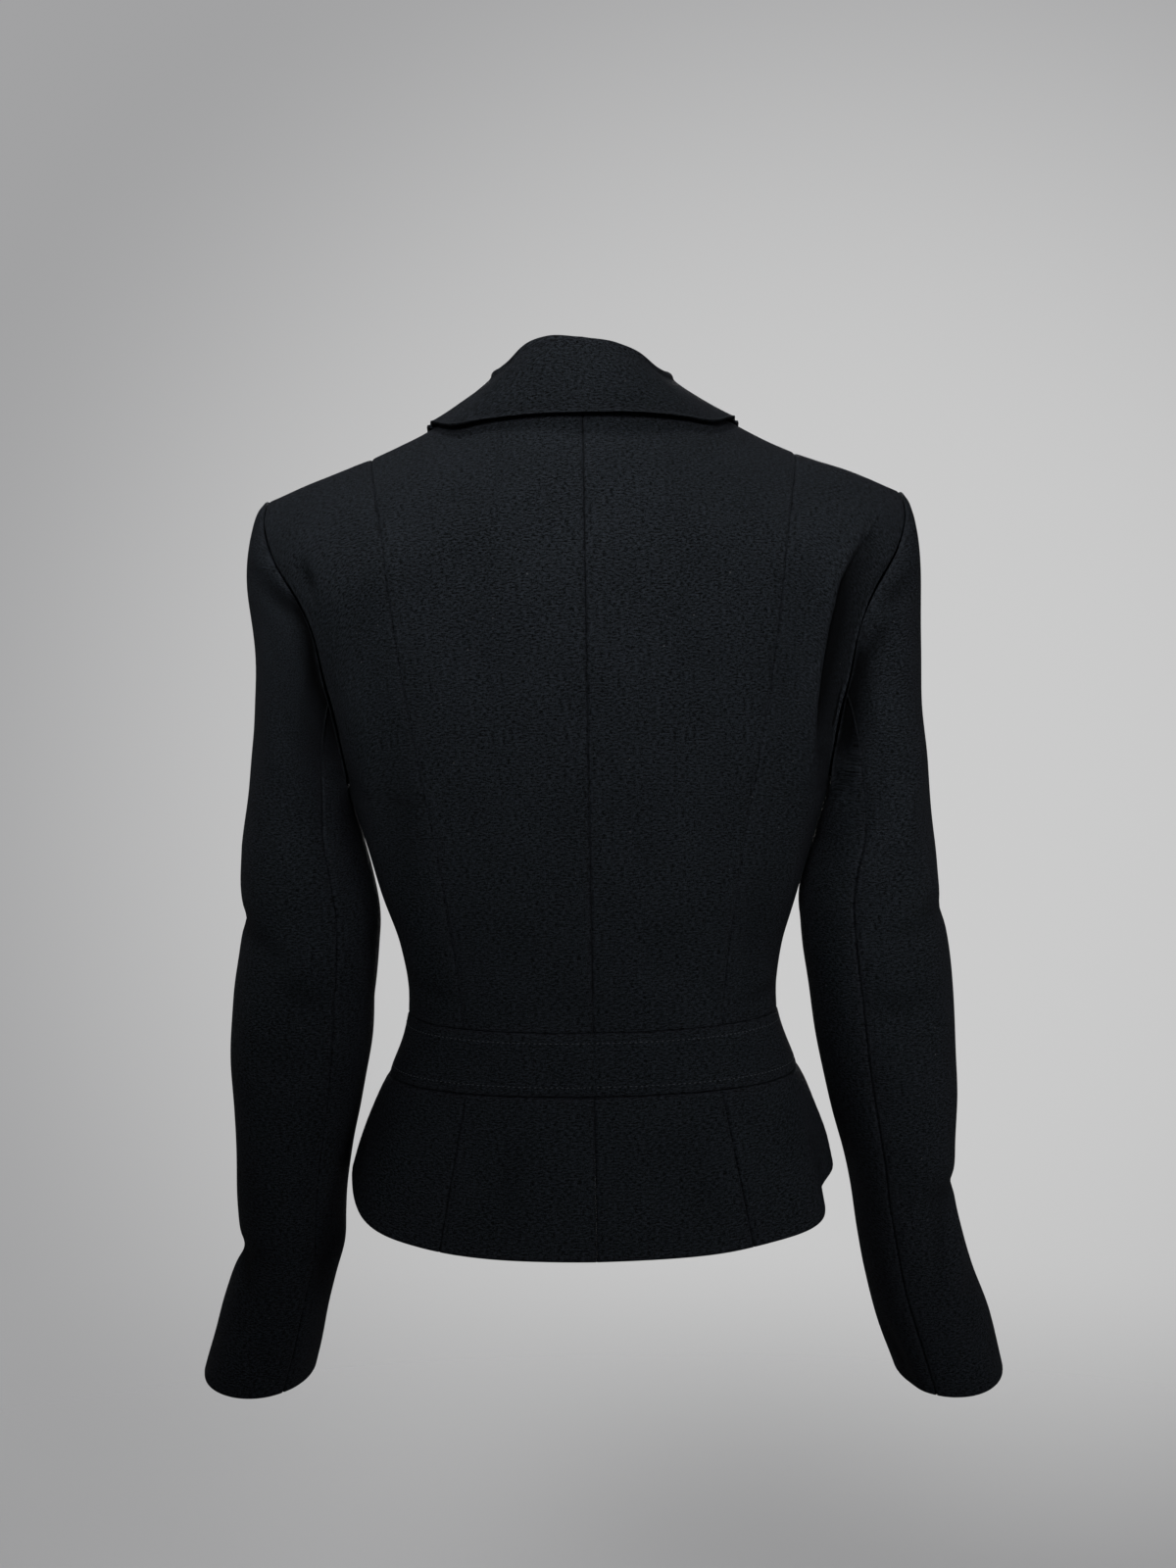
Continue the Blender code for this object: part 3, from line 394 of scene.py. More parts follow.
PRINCESS = rows_of(
    "z x",
    (-0.420, 0.0840),
    (-0.407, 0.0848),
    (-0.356, 0.0900),
    (-0.299, 0.0980),
    (-0.256, 0.1055),
    (-0.206, 0.1137),
    (-0.150, 0.1215),
    (-0.096, 0.1285),
    (-0.040, 0.1410),
)
ARMHOLE = rows_of(
    "z back_x front_x",
    (-0.2640, 0.1605, 0.1605),
    (-0.2580, 0.1570, 0.1550),
    (-0.2420, 0.1585, 0.1540),
    (-0.2135, 0.1635, 0.1560),
    (-0.1900, 0.1690, 0.1590),
    (-0.1610, 0.1740, 0.1640),
    (-0.1380, 0.1840, 0.1750),
    (-0.1120, 0.2005, 0.1955),
    (-0.0900, 0.2085, 0.2075),
    (-0.0721, 0.2090, 0.2090),
)
BODY_FOLDS = rows_of(
    "side top_z bottom_z top_x bottom_x half_width height",
    ("left", -0.085, -0.330, 0.172, 0.134, 0.013, 0.0045),
    ("right", -0.080, -0.340, 0.174, 0.132, 0.014, 0.0065),
)
print("body:", len(BODY), "rings")


# %% Reading a table
END_CROWDING = 0.86           # how far the steps crowd together towards the seams


def hermite(t, start, leave, end, arrive):
    """Curve from start (0) to end (1) that leaves and arrives along the given directions."""
    first = (1 + 2 * t) * (1 - t) ** 2 * start + t * (1 - t) ** 2 * leave
    return first + t * t * (3 - 2 * t) * end + t * t * (t - 1) * arrive


def smooth(xs, ys, at):
    """Height at the given places of the smooth curve through the points (xs, ys)."""
    xs, ys, at = np.asarray(xs), np.asarray(ys), np.asarray(at, dtype=float)
    slope = np.gradient(ys, xs, axis=0)
    i = np.clip(np.searchsorted(xs, at, side="right") - 1, 0, len(xs) - 2)
    span = xs[i + 1] - xs[i]
    t = np.clip((at - xs[i]) / span, 0.0, 1.0)
    if ys.ndim > 1:
        span, t = span[:, None], t[:, None]
    return hermite(t, ys[i], span * slope[i], ys[i + 1], span * slope[i + 1])


def read(table, name, at):
    """One named column of a table, read smoothly along its first column."""
    return smooth([row[0] for row in table], [getattr(row, name) for row in table], at)


def ease(low, high, value):
    """Smooth step from 0 at low to 1 at high."""
    t = np.clip((np.asarray(value, dtype=float) - low) / (high - low), 0.0, 1.0)
    return t * t * (3 - 2 * t)


def unit(vectors):
    return vectors / np.linalg.norm(vectors, axis=-1, keepdims=True)


def mirrored(points, side):
    """Points made for the right half, moved to the given half."""
    return points * np.array([1.0 if side == "right" else -1.0, 1.0, 1.0])


def steps(count, *corners):
    """Steps from 0 to 1 that crowd together at both ends, where the seams are, and hit the corners."""
    t = np.linspace(0, 1, count + 1)
    t = t - END_CROWDING * np.sin(2 * np.pi * t) / (2 * np.pi)
    for corner in corners:
        t[np.argmin(np.abs(t - corner))] = corner
    return t


print("waist half width:", float(read(BODY, "half_width", WAIST_TOP_Z)), "m")


# %% The body's outer surface
BACK_FADE = (0.0, 0.45)       # a fold fades out where the body turns away from the back
ON_RIDGE = 1e-5               # a point this close to the shoulder ridge lies on it


def section(table, angle, at):
    """X and Y of a rounded section, read from a table of rings; the angle starts at the centre back."""
    power = 2 / read(table, "squareness", at)
    sine, cosine = np.sin(angle), np.cos(angle)
    depth = np.where(cosine > 0, read(table, "back_depth", at), read(table, "front_depth", at))
    x = read(table, "half_width", at) * np.sign(sine) * np.abs(sine) ** power
    return x, -depth * np.sign(cosine) * np.abs(cosine) ** power


def section_angle(table, x, at, front=False):
    """Angle round a section of the point at x."""
    ratio = np.clip(np.asarray(x) / read(table, "half_width", at), -1.0, 1.0)
    angle = np.arcsin(np.sign(ratio) * np.abs(ratio) ** (read(table, "squareness", at) / 2))
    return np.pi - angle if front else angle


def angle_at(x, z, front=False):
    return section_angle(BODY, x, z, front)


def ridge_z(x):
    """Height of the shoulder ridge at a distance from the centre."""
    return read(SHOULDER, "z", np.abs(x))


def body_point(side, angle, z):
    """Point on the right half of the body; folds differ from side to side."""
    z = np.asarray(z, dtype=float)
    x, y = section(BODY, angle, z)
    below = np.clip((ridge_z(x) - z) / SHOULDER_ROUND, 0.0, 1.0)
    y = y * np.sqrt(1 - (1 - below) ** 2)
    for fold in BODY_FOLDS:
        if fold.side == side:
            t = np.clip((fold.top_z - z) / (fold.top_z - fold.bottom_z), 0.0, 1.0)
            centre = fold.top_x + (fold.bottom_x - fold.top_x) * t
            swell = fold.height * np.sin(np.pi * t) * np.exp(-((x - centre) / fold.half_width) ** 2)
            y = y - swell * ease(*BACK_FADE, np.cos(angle))
    return np.stack((x, y, z + np.zeros_like(x)), axis=-1)


def body_normal(side, angle, z):
    """Outward direction of the right half of the body."""
    turn, drop = 0.01, 0.002
    along = body_point(side, angle + turn, z) - body_point(side, angle - turn, z)
    up = body_point(side, angle, z) - body_point(side, angle, z - drop)
    x = body_point(side, angle, z)[..., 0]
    slope = (ridge_z(x + drop) - ridge_z(x - drop)) / (2 * drop)
    crest = unit(np.stack((-slope, np.zeros_like(x), np.ones_like(x)), axis=-1))
    on_ridge = (ridge_z(x) - z) < ON_RIDGE
    return np.where(on_ridge[..., None], crest, unit(np.cross(along, up)))


print("back at the shoulder blades:", body_point("right", 0.0, -0.161).round(3))


# %% Seam lines, as rows of (angle, height)
def row_heights(v, middle_z, top_z):
    """Heights of a panel's rows: up to about the underarm, then on to its top."""
    low = WAIST_TOP_Z + (middle_z - WAIST_TOP_Z) * np.clip(v / LOW_SHARE, 0, 1)
    t = np.clip((v - LOW_SHARE) / (1 - LOW_SHARE), 0, 1)
    return low + (top_z - middle_z) * (1 - (1 - t) ** ROW_CROWDING)


def line(angle, z):
    return np.stack(np.broadcast_arrays(np.asarray(angle, dtype=float), z), axis=-1)


def centre_back_line(v):
    return line(0.0, row_heights(v, UNDERARM_ROW_Z, BACK_NECK_Z))


def princess_line(v):
    z = row_heights(v, UNDERARM_ROW_Z, ridge_z(PRINCESS_TOP_X))
    x = np.where(v >= 1, PRINCESS_TOP_X, read(PRINCESS, "x", z))
    return line(angle_at(x, z), z)


def armhole_line(t, front):
    """Armhole edge from the underarm (0) to the shoulder tip (1)."""
    places = np.arange(len(ARMHOLE))
    z = smooth(places, [row.z for row in ARMHOLE], t * places[-1])
    x = smooth(places, [row.front_x if front else row.back_x for row in ARMHOLE], t * places[-1])
    z = np.where(t >= 1, ridge_z(x), z)
    return line(angle_at(x, z, front), z)


def side_line(v, front):
    """Side seam up to the underarm, then the armhole edge up to the shoulder tip."""
    seam = line(np.pi / 2, WAIST_TOP_Z + (ARMHOLE[0].z - WAIST_TOP_Z) * v / LOW_SHARE)
    edge = armhole_line(np.clip((v - LOW_SHARE) / (1 - LOW_SHARE), 0, 1), front)
    return np.where((v <= LOW_SHARE)[:, None], seam, edge)


def shoulder_line(t, start_x, end_x, front=False):
    x = start_x + (end_x - start_x) * t
    return line(angle_at(x, ridge_z(x), front), ridge_z(x))


def back_neckline(t):
    """Neckline from the centre back (0) to the neck point (1)."""
    rise = ridge_z(NECK_HALF_WIDTH) - BACK_NECK_Z
    z = BACK_NECK_Z + rise * (1 - np.sqrt(np.clip(1 - t ** 2, 0, 1)))
    return line(angle_at(NECK_HALF_WIDTH * t, z), z)


def roll_x(z):
    """Front edge of the neck opening: the line that the lapel turns back along."""
    t = (np.asarray(z) - BREAK_Z) / (ridge_z(NECK_HALF_WIDTH) - BREAK_Z)
    return -FRONT_OVERLAP + (NECK_HALF_WIDTH + FRONT_OVERLAP) * t


def lapel_start(side):
    """Lower end of a lapel; the left one stays under the right front further up."""
    if side == "right":
        return BREAK_Z + LAPEL_BREAK_CLEAR
    return BREAK_Z + LAPEL_COVERED * (ridge_z(NECK_HALF_WIDTH) - BREAK_Z)


def front_edge_line(side, v):
    """Front edge up to the break, then the roll line, held back where the lapel rolls round it."""
    z = row_heights(v, BREAK_Z, ridge_z(NECK_HALF_WIDTH))
    start, fade = lapel_start(side), ROLL_TURN_FADE
    held_back = ROLL_TURN_IN * ease(start, start + fade, z) * (1 - ease(GORGE_Z - fade, GORGE_Z, z))
    return line(angle_at(np.where(z > BREAK_Z, roll_x(z) + held_back, -FRONT_OVERLAP), z, front=True), z)


def patch(u, v, first, last, bottom, top):
    """Coons patch, in angle and height, between four border lines."""
    u, v = u[None, :, None], v[:, None, None]
    ruled = (1 - u) * first[:, None] + u * last[:, None]
    crossed = (1 - v) * bottom[None] + v * top[None]
    low, high = (1 - u) * first[0] + u * last[0], (1 - u) * first[-1] + u * last[-1]
    return ruled + crossed - (1 - v) * low - v * high


print("neck point at height", round(float(ridge_z(NECK_HALF_WIDTH)), 4), "m")

# %% [markdown]
# ## Creases
# Worn cloth is never smooth: it sinks beside the armholes, breaks at the elbows and drags towards
# the waist. Each crease is a soft trough or ridge along a short path, placed on one face
# of the jacket, and no two are alike. A path is read on the face that it lies on: across is X on
# the back and the front, and Y on the outer and inner faces of a sleeve. A fold that hangs over
# gets a small `steep`: its width on the left of the path shrinks to that share. Cloth simulation
# could make creases too, but it would not put them where this jacket has them.

# %% Crease table
Crease = namedtuple("Crease", "path half_width depth steep", defaults=(1.0,))
CREASES = {
    ("body", "back"): [
        (((0.148, -0.24), (0.1495, -0.209), (0.152, -0.188), (0.1565, -0.161), (0.163, -0.133),
          (0.179, -0.106)), 0.013, -0.0095, 0.22),
        (((0.168, -0.108), (0.153, -0.138), (0.146, -0.175), (0.142, -0.235)), 0.007, 0.0022),
        (((-0.1802, -0.114), (-0.1774, -0.1252), (-0.1745, -0.136)), 0.0045, -0.0034),
        (((-0.1238, -0.2214), (-0.1225, -0.28), (-0.118, -0.3384)), 0.01, -0.0016),
        (((-0.126, -0.386), (-0.112, -0.393), (-0.092, -0.397)), 0.005, -0.0014),
        (((-0.124, -0.372), (-0.105, -0.38)), 0.006, 0.001),
        (((0.127, -0.394), (0.11, -0.401), (0.096, -0.403)), 0.0045, -0.0014),
        (((0.128, -0.41), (0.112, -0.412)), 0.006, 0.0016),
        (((0.118, -0.3), (0.108, -0.345), (0.1, -0.385)), 0.011, -0.001),
        (((-0.06, -0.402), (-0.01, -0.398), (0.05, -0.403)), 0.009, -0.0006),
        (((0.03, -0.052), (0.085, -0.075), (0.125, -0.11)), 0.016, -0.0008),
        (((-0.035, -0.056), (-0.08, -0.072), (-0.12, -0.1)), 0.014, -0.0008),
    ],
    ("body", "front"): [
        (((0.168, -0.125), (0.156, -0.165), (0.147, -0.225)), 0.008, -0.0034),
        (((-0.166, -0.12), (-0.153, -0.17), (-0.143, -0.24)), 0.0075, -0.003),
        (((0.022, -0.364), (0.06, -0.352), (0.105, -0.33)), 0.008, -0.0014),
        (((-0.026, -0.37), (-0.07, -0.362), (-0.112, -0.345)), 0.0075, -0.0012),
        (((0.018, -0.308), (0.055, -0.29), (0.085, -0.262)), 0.0085, -0.001),
        (((0.12, -0.392), (0.09, -0.4), (0.055, -0.402)), 0.0055, -0.0012),
        (((-0.122, -0.388), (-0.096, -0.397), (-0.07, -0.399)), 0.0055, -0.0013),
    ],
    ("left sleeve", "back"): [
        (((-0.216, -0.118), (-0.1997, -0.135), (-0.1873, -0.1435), (-0.174, -0.15)), 0.0065, -0.005),
        (((-0.183, -0.125), (-0.1774, -0.1473), (-0.1734, -0.1623), (-0.1695, -0.1798),
          (-0.1651, -0.2023), (-0.1602, -0.228), (-0.158, -0.25)), 0.0095, -0.009),
        (((-0.212, -0.192), (-0.203, -0.225), (-0.193, -0.262)), 0.008, 0.0018),
        (((-0.18, -0.215), (-0.168, -0.25)), 0.011, -0.0016),
        (((-0.24, -0.352), (-0.222, -0.359), (-0.196, -0.374)), 0.0065, -0.0022),
        (((-0.208, -0.384), (-0.188, -0.398), (-0.166, -0.404)), 0.009, -0.0022),
        (((-0.235, -0.425), (-0.205, -0.44), (-0.18, -0.446)), 0.011, -0.0012),
        (((-0.25, -0.568), (-0.242, -0.585), (-0.236, -0.612)), 0.006, -0.0026),
        (((-0.172, -0.556), (-0.183, -0.584), (-0.194, -0.612)), 0.006, -0.0022),
    ],
    ("left sleeve", "outer"): [
        (((-0.07, -0.122), (0.0, -0.118), (0.06, -0.124)), 0.026, 0.0036),
        (((-0.045, -0.352), (-0.01, -0.348), (0.03, -0.356)), 0.007, -0.0024),
        (((-0.03, -0.578), (0.01, -0.58), (0.045, -0.59)), 0.0065, -0.0022),
    ],
    ("left sleeve", "inner"): [
        (((-0.004, -0.275), (0.0, -0.33), (0.0, -0.41)), 0.045, 0.0046),
    ],
    ("left sleeve", "front"): [
        (((-0.165, -0.372), (-0.19, -0.381), (-0.224, -0.378)), 0.007, -0.003),
        (((-0.168, -0.402), (-0.196, -0.41), (-0.228, -0.404)), 0.0075, -0.0024),
        (((-0.182, -0.345), (-0.205, -0.352)), 0.006, -0.0018),
        (((-0.176, -0.15), (-0.192, -0.19), (-0.2, -0.245)), 0.01, -0.002),
        (((-0.196, -0.56), (-0.214, -0.572), (-0.236, -0.574)), 0.007, -0.002),
    ],
    ("right sleeve", "back"): [
        (((0.212, -0.13), (0.203, -0.138), (0.193, -0.148)), 0.006, -0.0028),
        (((0.196, -0.159), (0.186, -0.173), (0.174, -0.187)), 0.006, -0.0034),
        (((0.17, -0.17), (0.164, -0.205), (0.16, -0.255)), 0.013, -0.0095),
        (((0.221, -0.23), (0.213, -0.262), (0.203, -0.296)), 0.008, 0.0018),
        (((0.18, -0.26), (0.176, -0.3)), 0.011, -0.0014),
        (((0.236, -0.345), (0.216, -0.356), (0.188, -0.362)), 0.0075, -0.0018),
        (((0.232, -0.398), (0.204, -0.41), (0.178, -0.408)), 0.009, -0.0018),
        (((0.247, -0.546), (0.246, -0.59), (0.242, -0.64)), 0.006, 0.0022),
        (((0.235, -0.538), (0.232, -0.575), (0.232, -0.615)), 0.007, -0.0018),
        (((0.192, -0.632), (0.201, -0.655), (0.214, -0.684)), 0.0055, -0.003),
    ],
    ("right sleeve", "inner"): [
        (((0.0, -0.27), (-0.004, -0.31), (0.0, -0.36)), 0.045, 0.0036),
    ],
    ("right sleeve", "outer"): [
        (((-0.03, -0.545), (0.005, -0.54), (0.042, -0.548)), 0.0065, -0.0024),
        (((-0.048, -0.342), (-0.01, -0.35), (0.026, -0.345)), 0.0075, -0.0016),
    ],
    ("right sleeve", "front"): [
        (((0.16, -0.378), (0.19, -0.388), (0.222, -0.383)), 0.0075, -0.0028),
        (((0.166, -0.412), (0.198, -0.418), (0.23, -0.41)), 0.007, -0.0024),
        (((0.178, -0.35), (0.206, -0.357)), 0.006, -0.0016),
        (((0.18, -0.155), (0.19, -0.2), (0.194, -0.25)), 0.01, -0.002),
        (((0.206, -0.57), (0.226, -0.58), (0.244, -0.58)), 0.007, -0.0018),
    ],
    ("peplum", "back"): [
        (((0.06, -0.47), (0.066, -0.505), (0.07, -0.545)), 0.012, -0.001),
        (((-0.05, -0.475), (-0.058, -0.515), (-0.06, -0.548)), 0.013, -0.001),
    ],
    ("peplum", "front"): [
        (((0.08, -0.465), (0.09, -0.5), (0.096, -0.54)), 0.012, -0.0016),
        (((-0.075, -0.465), (-0.088, -0.505), (-0.092, -0.54)), 0.012, -0.0014),
    ],
}
FACES = {"back": (1, -1.0), "front": (1, 1.0), "outer": (0, 1.0), "inner": (0, -1.0)}
FACE_FADE = (0.05, 0.45)
TAPER, PATH_ENDS = 0.6, (0.04, 0.96)
print("creases:", sum(len(rows) for rows in CREASES.values()))


# %% Pressing the creases
def along_path(path, across, z):
    """Distance of every point from a path, how far along it lies (0 to 1), and whether on its left."""
    path = np.asarray(path)
    legs = np.linalg.norm(np.diff(path, axis=0), axis=1)
    before = np.concatenate(([0.0], np.cumsum(legs)))
    nearest, share = np.full(across.shape, np.inf), np.zeros(across.shape)
    left = np.zeros(across.shape, bool)
    for start, end, length, done in zip(path[:-1], path[1:], legs, before):
        step = (end - start) / length
        t = np.clip((across - start[0]) * step[0] + (z - start[1]) * step[1], 0, length)
        aside, above = across - start[0] - step[0] * t, z - start[1] - step[1] * t
        closer = np.hypot(aside, above) < nearest
        nearest = np.where(closer, np.hypot(aside, above), nearest)
        share = np.where(closer, (done + t) / before[-1], share)
        left = np.where(closer, step[0] * above - step[1] * aside > 0, left)
    return nearest, share, left


def crease_lift(cloth, side, points, normals):
    """How far the creases of one kind of piece push its points in or out."""
    lift = np.zeros(points.shape[:-1])
    for face, (axis, sign) in FACES.items():
        turned = sign * normals[..., axis]
        if axis == 0 and side == "left":
            turned = -turned
        across = points[..., 1 - axis]
        for row in CREASES.get((cloth, face), ()):
            crease = Crease(*row)
            away, share, left = along_path(crease.path, across, points[..., 2])
            width = crease.half_width * np.where(left, crease.steep, 1.0)
            swell = np.exp(-(away / width) ** 2) * np.sin(np.pi * np.clip(share, *PATH_ENDS)) ** TAPER
            lift += crease.depth * swell * ease(*FACE_FADE, turned)
    return lift


WAVES = rows_of(
    "size pull start",
    (0.00028, (61.0, 23.0, 47.0), 0.4),
    (0.00022, (-37.0, 71.0, 89.0), 1.9),
    (0.00013, (140.0, -60.0, 113.0), 3.1),
)


def drape_lift(points):
    """Slow uneven waves that keep any panel from looking machined."""
    return sum(wave.size * np.sin(points @ np.array(wave.pull) + wave.start) for wave in WAVES)


print("waves of up to", sum(wave.size for wave in WAVES) * 1000, "mm")

# %% [markdown]
# ## A shell of cloth
# A piece starts as a grid of points and outward normals. Where two pieces are sewn and pressed the
# cloth turns in, so its border sinks, the seam allowance stands up a little beside it, and the
# stitches pucker it. At a free edge, or where a piece is set in, the border only turns softly. The
# grid is then given its thickness and closed with a rim, because cloth with a real edge looks
# right wherever the light catches it. The UV map is the distance along the cloth, in metres, and
# the weave of the finish follows it. The depth of the folds is kept as an attribute of the mesh,
# the mask of the shade painted into the cloth in its creases.

# %% Shell builder
SEAM_SINK, SEAM_WIDTH, SEAM_HOLD = 0.0021, 0.0006, 0.0015
ALLOWANCE_RISE, ALLOWANCE = 0.00008, (0.003, 0.006, 0.011, 0.017)
PUCKER, PUCKER_PITCH, PUCKER_REACH, PUCKER_START = 0.00008, 0.0068, 0.006, 0.002
PUCKER_STRAY, PUCKER_STRAYS = 2.0, 90.0   # the puckers are unevenly spaced
EDGE_SINK, EDGE_WIDTH = 0.0005, 0.0011
# painted shade: a crease this deep gets the full painted shade
FULL_SHADE_DEPTH = 0.0065        # a hollow this deep is as dark as hollows get
SHARP_EDGE = np.radians(50)

Cloth = namedtuple("Cloth", "piece width length area")
cloths = {}


def edge_distances(grid):
    """Distance of every point from the four borders of its piece, measured along the cloth."""
    across = np.cumsum(np.linalg.norm(np.diff(grid, axis=1, prepend=grid[:, :1]), axis=-1), axis=1)
    along = np.cumsum(np.linalg.norm(np.diff(grid, axis=0, prepend=grid[:1]), axis=-1), axis=0)
    return {"first": across, "last": across[:, -1:] - across, "bottom": along, "top": along[-1:] - along}


def edge_lift(distances, seams, soft):
    """Sunk seams with their pressed allowance and puckers, and softly turned free edges."""
    lift, sunk = np.zeros(distances["first"].shape), np.zeros(distances["first"].shape)
    for border in seams.split():
        away = distances[border]
        run = distances["bottom"] if border in ("first", "last") else distances["first"]
        sunk = np.maximum(sunk, SEAM_SINK * np.exp(-away / SEAM_WIDTH))
        near, full, fading, gone = ALLOWANCE
        lift += ALLOWANCE_RISE * (ease(near, full, away) - ease(fading, gone, away))
        ripple = np.sin(2 * np.pi * run / PUCKER_PITCH + PUCKER_STRAY * np.sin(run * PUCKER_STRAYS))
        lift += PUCKER * ripple * np.exp(-away / PUCKER_REACH) * ease(0.0, PUCKER_START, away)
    for border in soft.split():
        sunk = np.maximum(sunk, EDGE_SINK * np.exp(-(distances[border] / EDGE_WIDTH) ** 2))
    return lift - sunk


def quads(first, second, third, fourth):
    return np.stack((first, second, third, fourth), axis=-1).reshape(-1, 4)


def shell_mesh(name, outside, inside, distances, folds):
    """Closed wall between two grids of points, with the cut of the cloth as its UV map."""
    rows, columns = outside.shape[:2]
    o = np.arange(rows * columns).reshape(rows, columns)
    i = o + rows * columns
    faces = np.concatenate((
        quads(o[:-1, :-1], o[:-1, 1:], o[1:, 1:], o[1:, :-1]),
        quads(i[:-1, :-1], i[1:, :-1], i[1:, 1:], i[:-1, 1:]),
        quads(o[:-1, 0], o[1:, 0], i[1:, 0], i[:-1, 0]),
        quads(o[1:, -1], o[:-1, -1], i[:-1, -1], i[1:, -1]),
        quads(o[0, 1:], o[0, :-1], i[0, :-1], i[0, 1:]),
        quads(o[-1, :-1], o[-1, 1:], i[-1, 1:], i[-1, :-1]),
    ))
    mesh = bpy.data.meshes.new(name)
    points = np.concatenate((outside.reshape(-1, 3), inside.reshape(-1, 3)))
    mesh.from_pydata(points.tolist(), [], faces.tolist())
    cut = np.stack((distances["first"], distances["bottom"]), axis=-1).reshape(-1, 2)
    cut = np.concatenate((cut, cut))
    corner = np.empty(len(mesh.loops), dtype=np.int32)
    mesh.loops.foreach_get("vertex_index", corner)
    mesh.uv_layers.new(name="cut").data.foreach_set("uv", cut[corner].ravel().astype(np.float32))
    # painted shade: the depth of the creases becomes the mask of shade painted into the cloth
    painted_crease_shade = np.clip(-folds / FULL_SHADE_DEPTH, 0.0, 1.0).ravel()
    mesh.attributes.new("painted_crease_shade", "FLOAT", "POINT").data.foreach_set(
        "value", np.concatenate((painted_crease_shade, painted_crease_shade)).astype(np.float32))
    mesh.shade_smooth()
    mesh.set_sharp_from_angle(angle=SHARP_EDGE)
    return mesh


def add_piece(name, mesh, finish):
    piece = bpy.data.objects.new(name, mesh)
    mesh.materials.append(finish)
    scene.collection.objects.link(piece)
    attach(piece, "root")
    return piece


def add_cloth(node, side, points, normals, cloth, seams="", edges="", set_in=""):
    """Finished shell that stands for one solid; the grid is made for the right half."""
    points, normals = mirrored(points, side), mirrored(normals, side)
    if side == "left":
        points, normals = points[:, ::-1], normals[:, ::-1]
        swap = {"first": "last", "last": "first"}
        seams, edges, set_in = (" ".join(swap.get(border, border) for border in borders.split())
                                for borders in (seams, edges, set_in))
    distances = edge_distances(points)
    folds = crease_lift(cloth, side, points, normals)
    for border in f"{seams} {set_in}".split():
        folds = folds * ease(0.0, SEAM_HOLD, distances[border])
    lift = folds + drape_lift(points) + edge_lift(distances, seams, f"{edges} {set_in}")
    outside = points + normals * lift[..., None]
    mesh = shell_mesh(f"{node}_cloth", outside, outside - normals * CLOTH, distances, folds)
    piece = add_piece(f"{node}_cloth", mesh, crepe)
    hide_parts(node)
    sides = np.cross(points[1:, :-1] - points[:-1, :-1], points[:-1, 1:] - points[:-1, :-1])
    width, length = distances["first"].max(), distances["bottom"].max()
    cloths[node] = Cloth(piece, width, length, float(np.linalg.norm(sides, axis=-1).sum()))


print("shells are", CLOTH * 1000, "mm thick")

# %% [markdown]
# ## Body panels
# The back is cut in four: two centre panels joined down the spine, and a side panel beyond each
# princess seam, which runs from the shoulder to the waist and gives the jacket its waist without
# darts. The fronts close right over left. All of them are patches stretched between seam lines.

# %% Back, side back and front
PANEL_ROWS, BACK_COLUMNS, SIDE_COLUMNS, FRONT_COLUMNS = 150, 84, 110, 84
NECK_SHARE = 5 / 9            # share of the back's top border that is neckline


def overlap_lift(side, points):
    """The right front lies over the left one at the centre front."""
    if side == "left":
        return np.zeros(points.shape[:-1])
    return (CLOTH + LAYER_GAP) * (1 - ease(*OVERLAP_FADE, points[..., 0]))


def add_panel(node, side, lines, seams, edges="", set_in="", lapped=False, lift=0.0):
    angle, z = lines[..., 0], lines[..., 1]
    points, normals = body_point(side, angle, z), body_normal(side, angle, z)
    rise = lift + (overlap_lift(side, points) if lapped else np.zeros_like(z))
    add_cloth(node, side, points + normals * rise[..., None], normals, "body", seams, edges, set_in)


def add_body(part, side, u, v, first, last, top, **borders):
    """Panel of the body between two seam lines, from the waistband up to its top border."""
    bottom = first[0] + (last[0] - first[0]) * u[:, None]
    lines = patch(u, v, first, last, bottom, top)
    add_panel(f"{part}_{side}", side, lines, lapped=part == "front", **borders)


def add_back(side):
    u, v = steps(BACK_COLUMNS, NECK_SHARE), steps(PANEL_ROWS, LOW_SHARE)
    neck = back_neckline(np.clip(u / NECK_SHARE, 0, 1))
    shoulder = shoulder_line((u - NECK_SHARE) / (1 - NECK_SHARE), NECK_HALF_WIDTH, PRINCESS_TOP_X)
    top = np.where((u <= NECK_SHARE)[:, None], neck, shoulder)
    add_body("back", side, u, v, centre_back_line(v), princess_line(v), top,
             seams="first last bottom", set_in="top")


def add_side_back(side):
    u, v = steps(SIDE_COLUMNS), steps(PANEL_ROWS, LOW_SHARE)
    top = shoulder_line(u, PRINCESS_TOP_X, ARMHOLE[-1].back_x)
    add_body("side_back", side, u, v, princess_line(v), side_line(v, front=False), top,
             seams="first bottom", set_in="last top")


def add_front(side):
    u, v = steps(FRONT_COLUMNS), steps(PANEL_ROWS, LOW_SHARE)
    top = shoulder_line(u, ARMHOLE[-1].front_x, NECK_HALF_WIDTH, front=True)
    add_body("front", side, u, v, side_line(v, front=True), front_edge_line(side, v), top,
             seams="bottom", edges="last", set_in="first top")


for half in ("left", "right"):
    add_back(half)
    add_side_back(half)
    add_front(half)
print("panels:", ", ".join(cloths))

# %% [markdown]
# ## Waistband
# A straight band is let in at the waist and stitched close to both its edges. It is sewn to the
# panels above and to the skirt below, so its long borders sink. Its ends are set in at the centre
# back and at the sides.

# %% Waistband
BAND_ROWS, BAND_COLUMNS = 34, {"back": 76, "front": 96}


def band_lines(part, u, z):
    """Angles and heights of the waistband's back or front piece."""
    start = 0.0 if part == "back" else np.pi / 2
    stop = np.full_like(z, np.pi / 2) if part == "back" else angle_at(-FRONT_OVERLAP, z, front=True)
    angle = start + (stop[:, None] - start) * u[None]
    return np.stack((angle, z[:, None] + np.zeros_like(angle)), axis=-1)


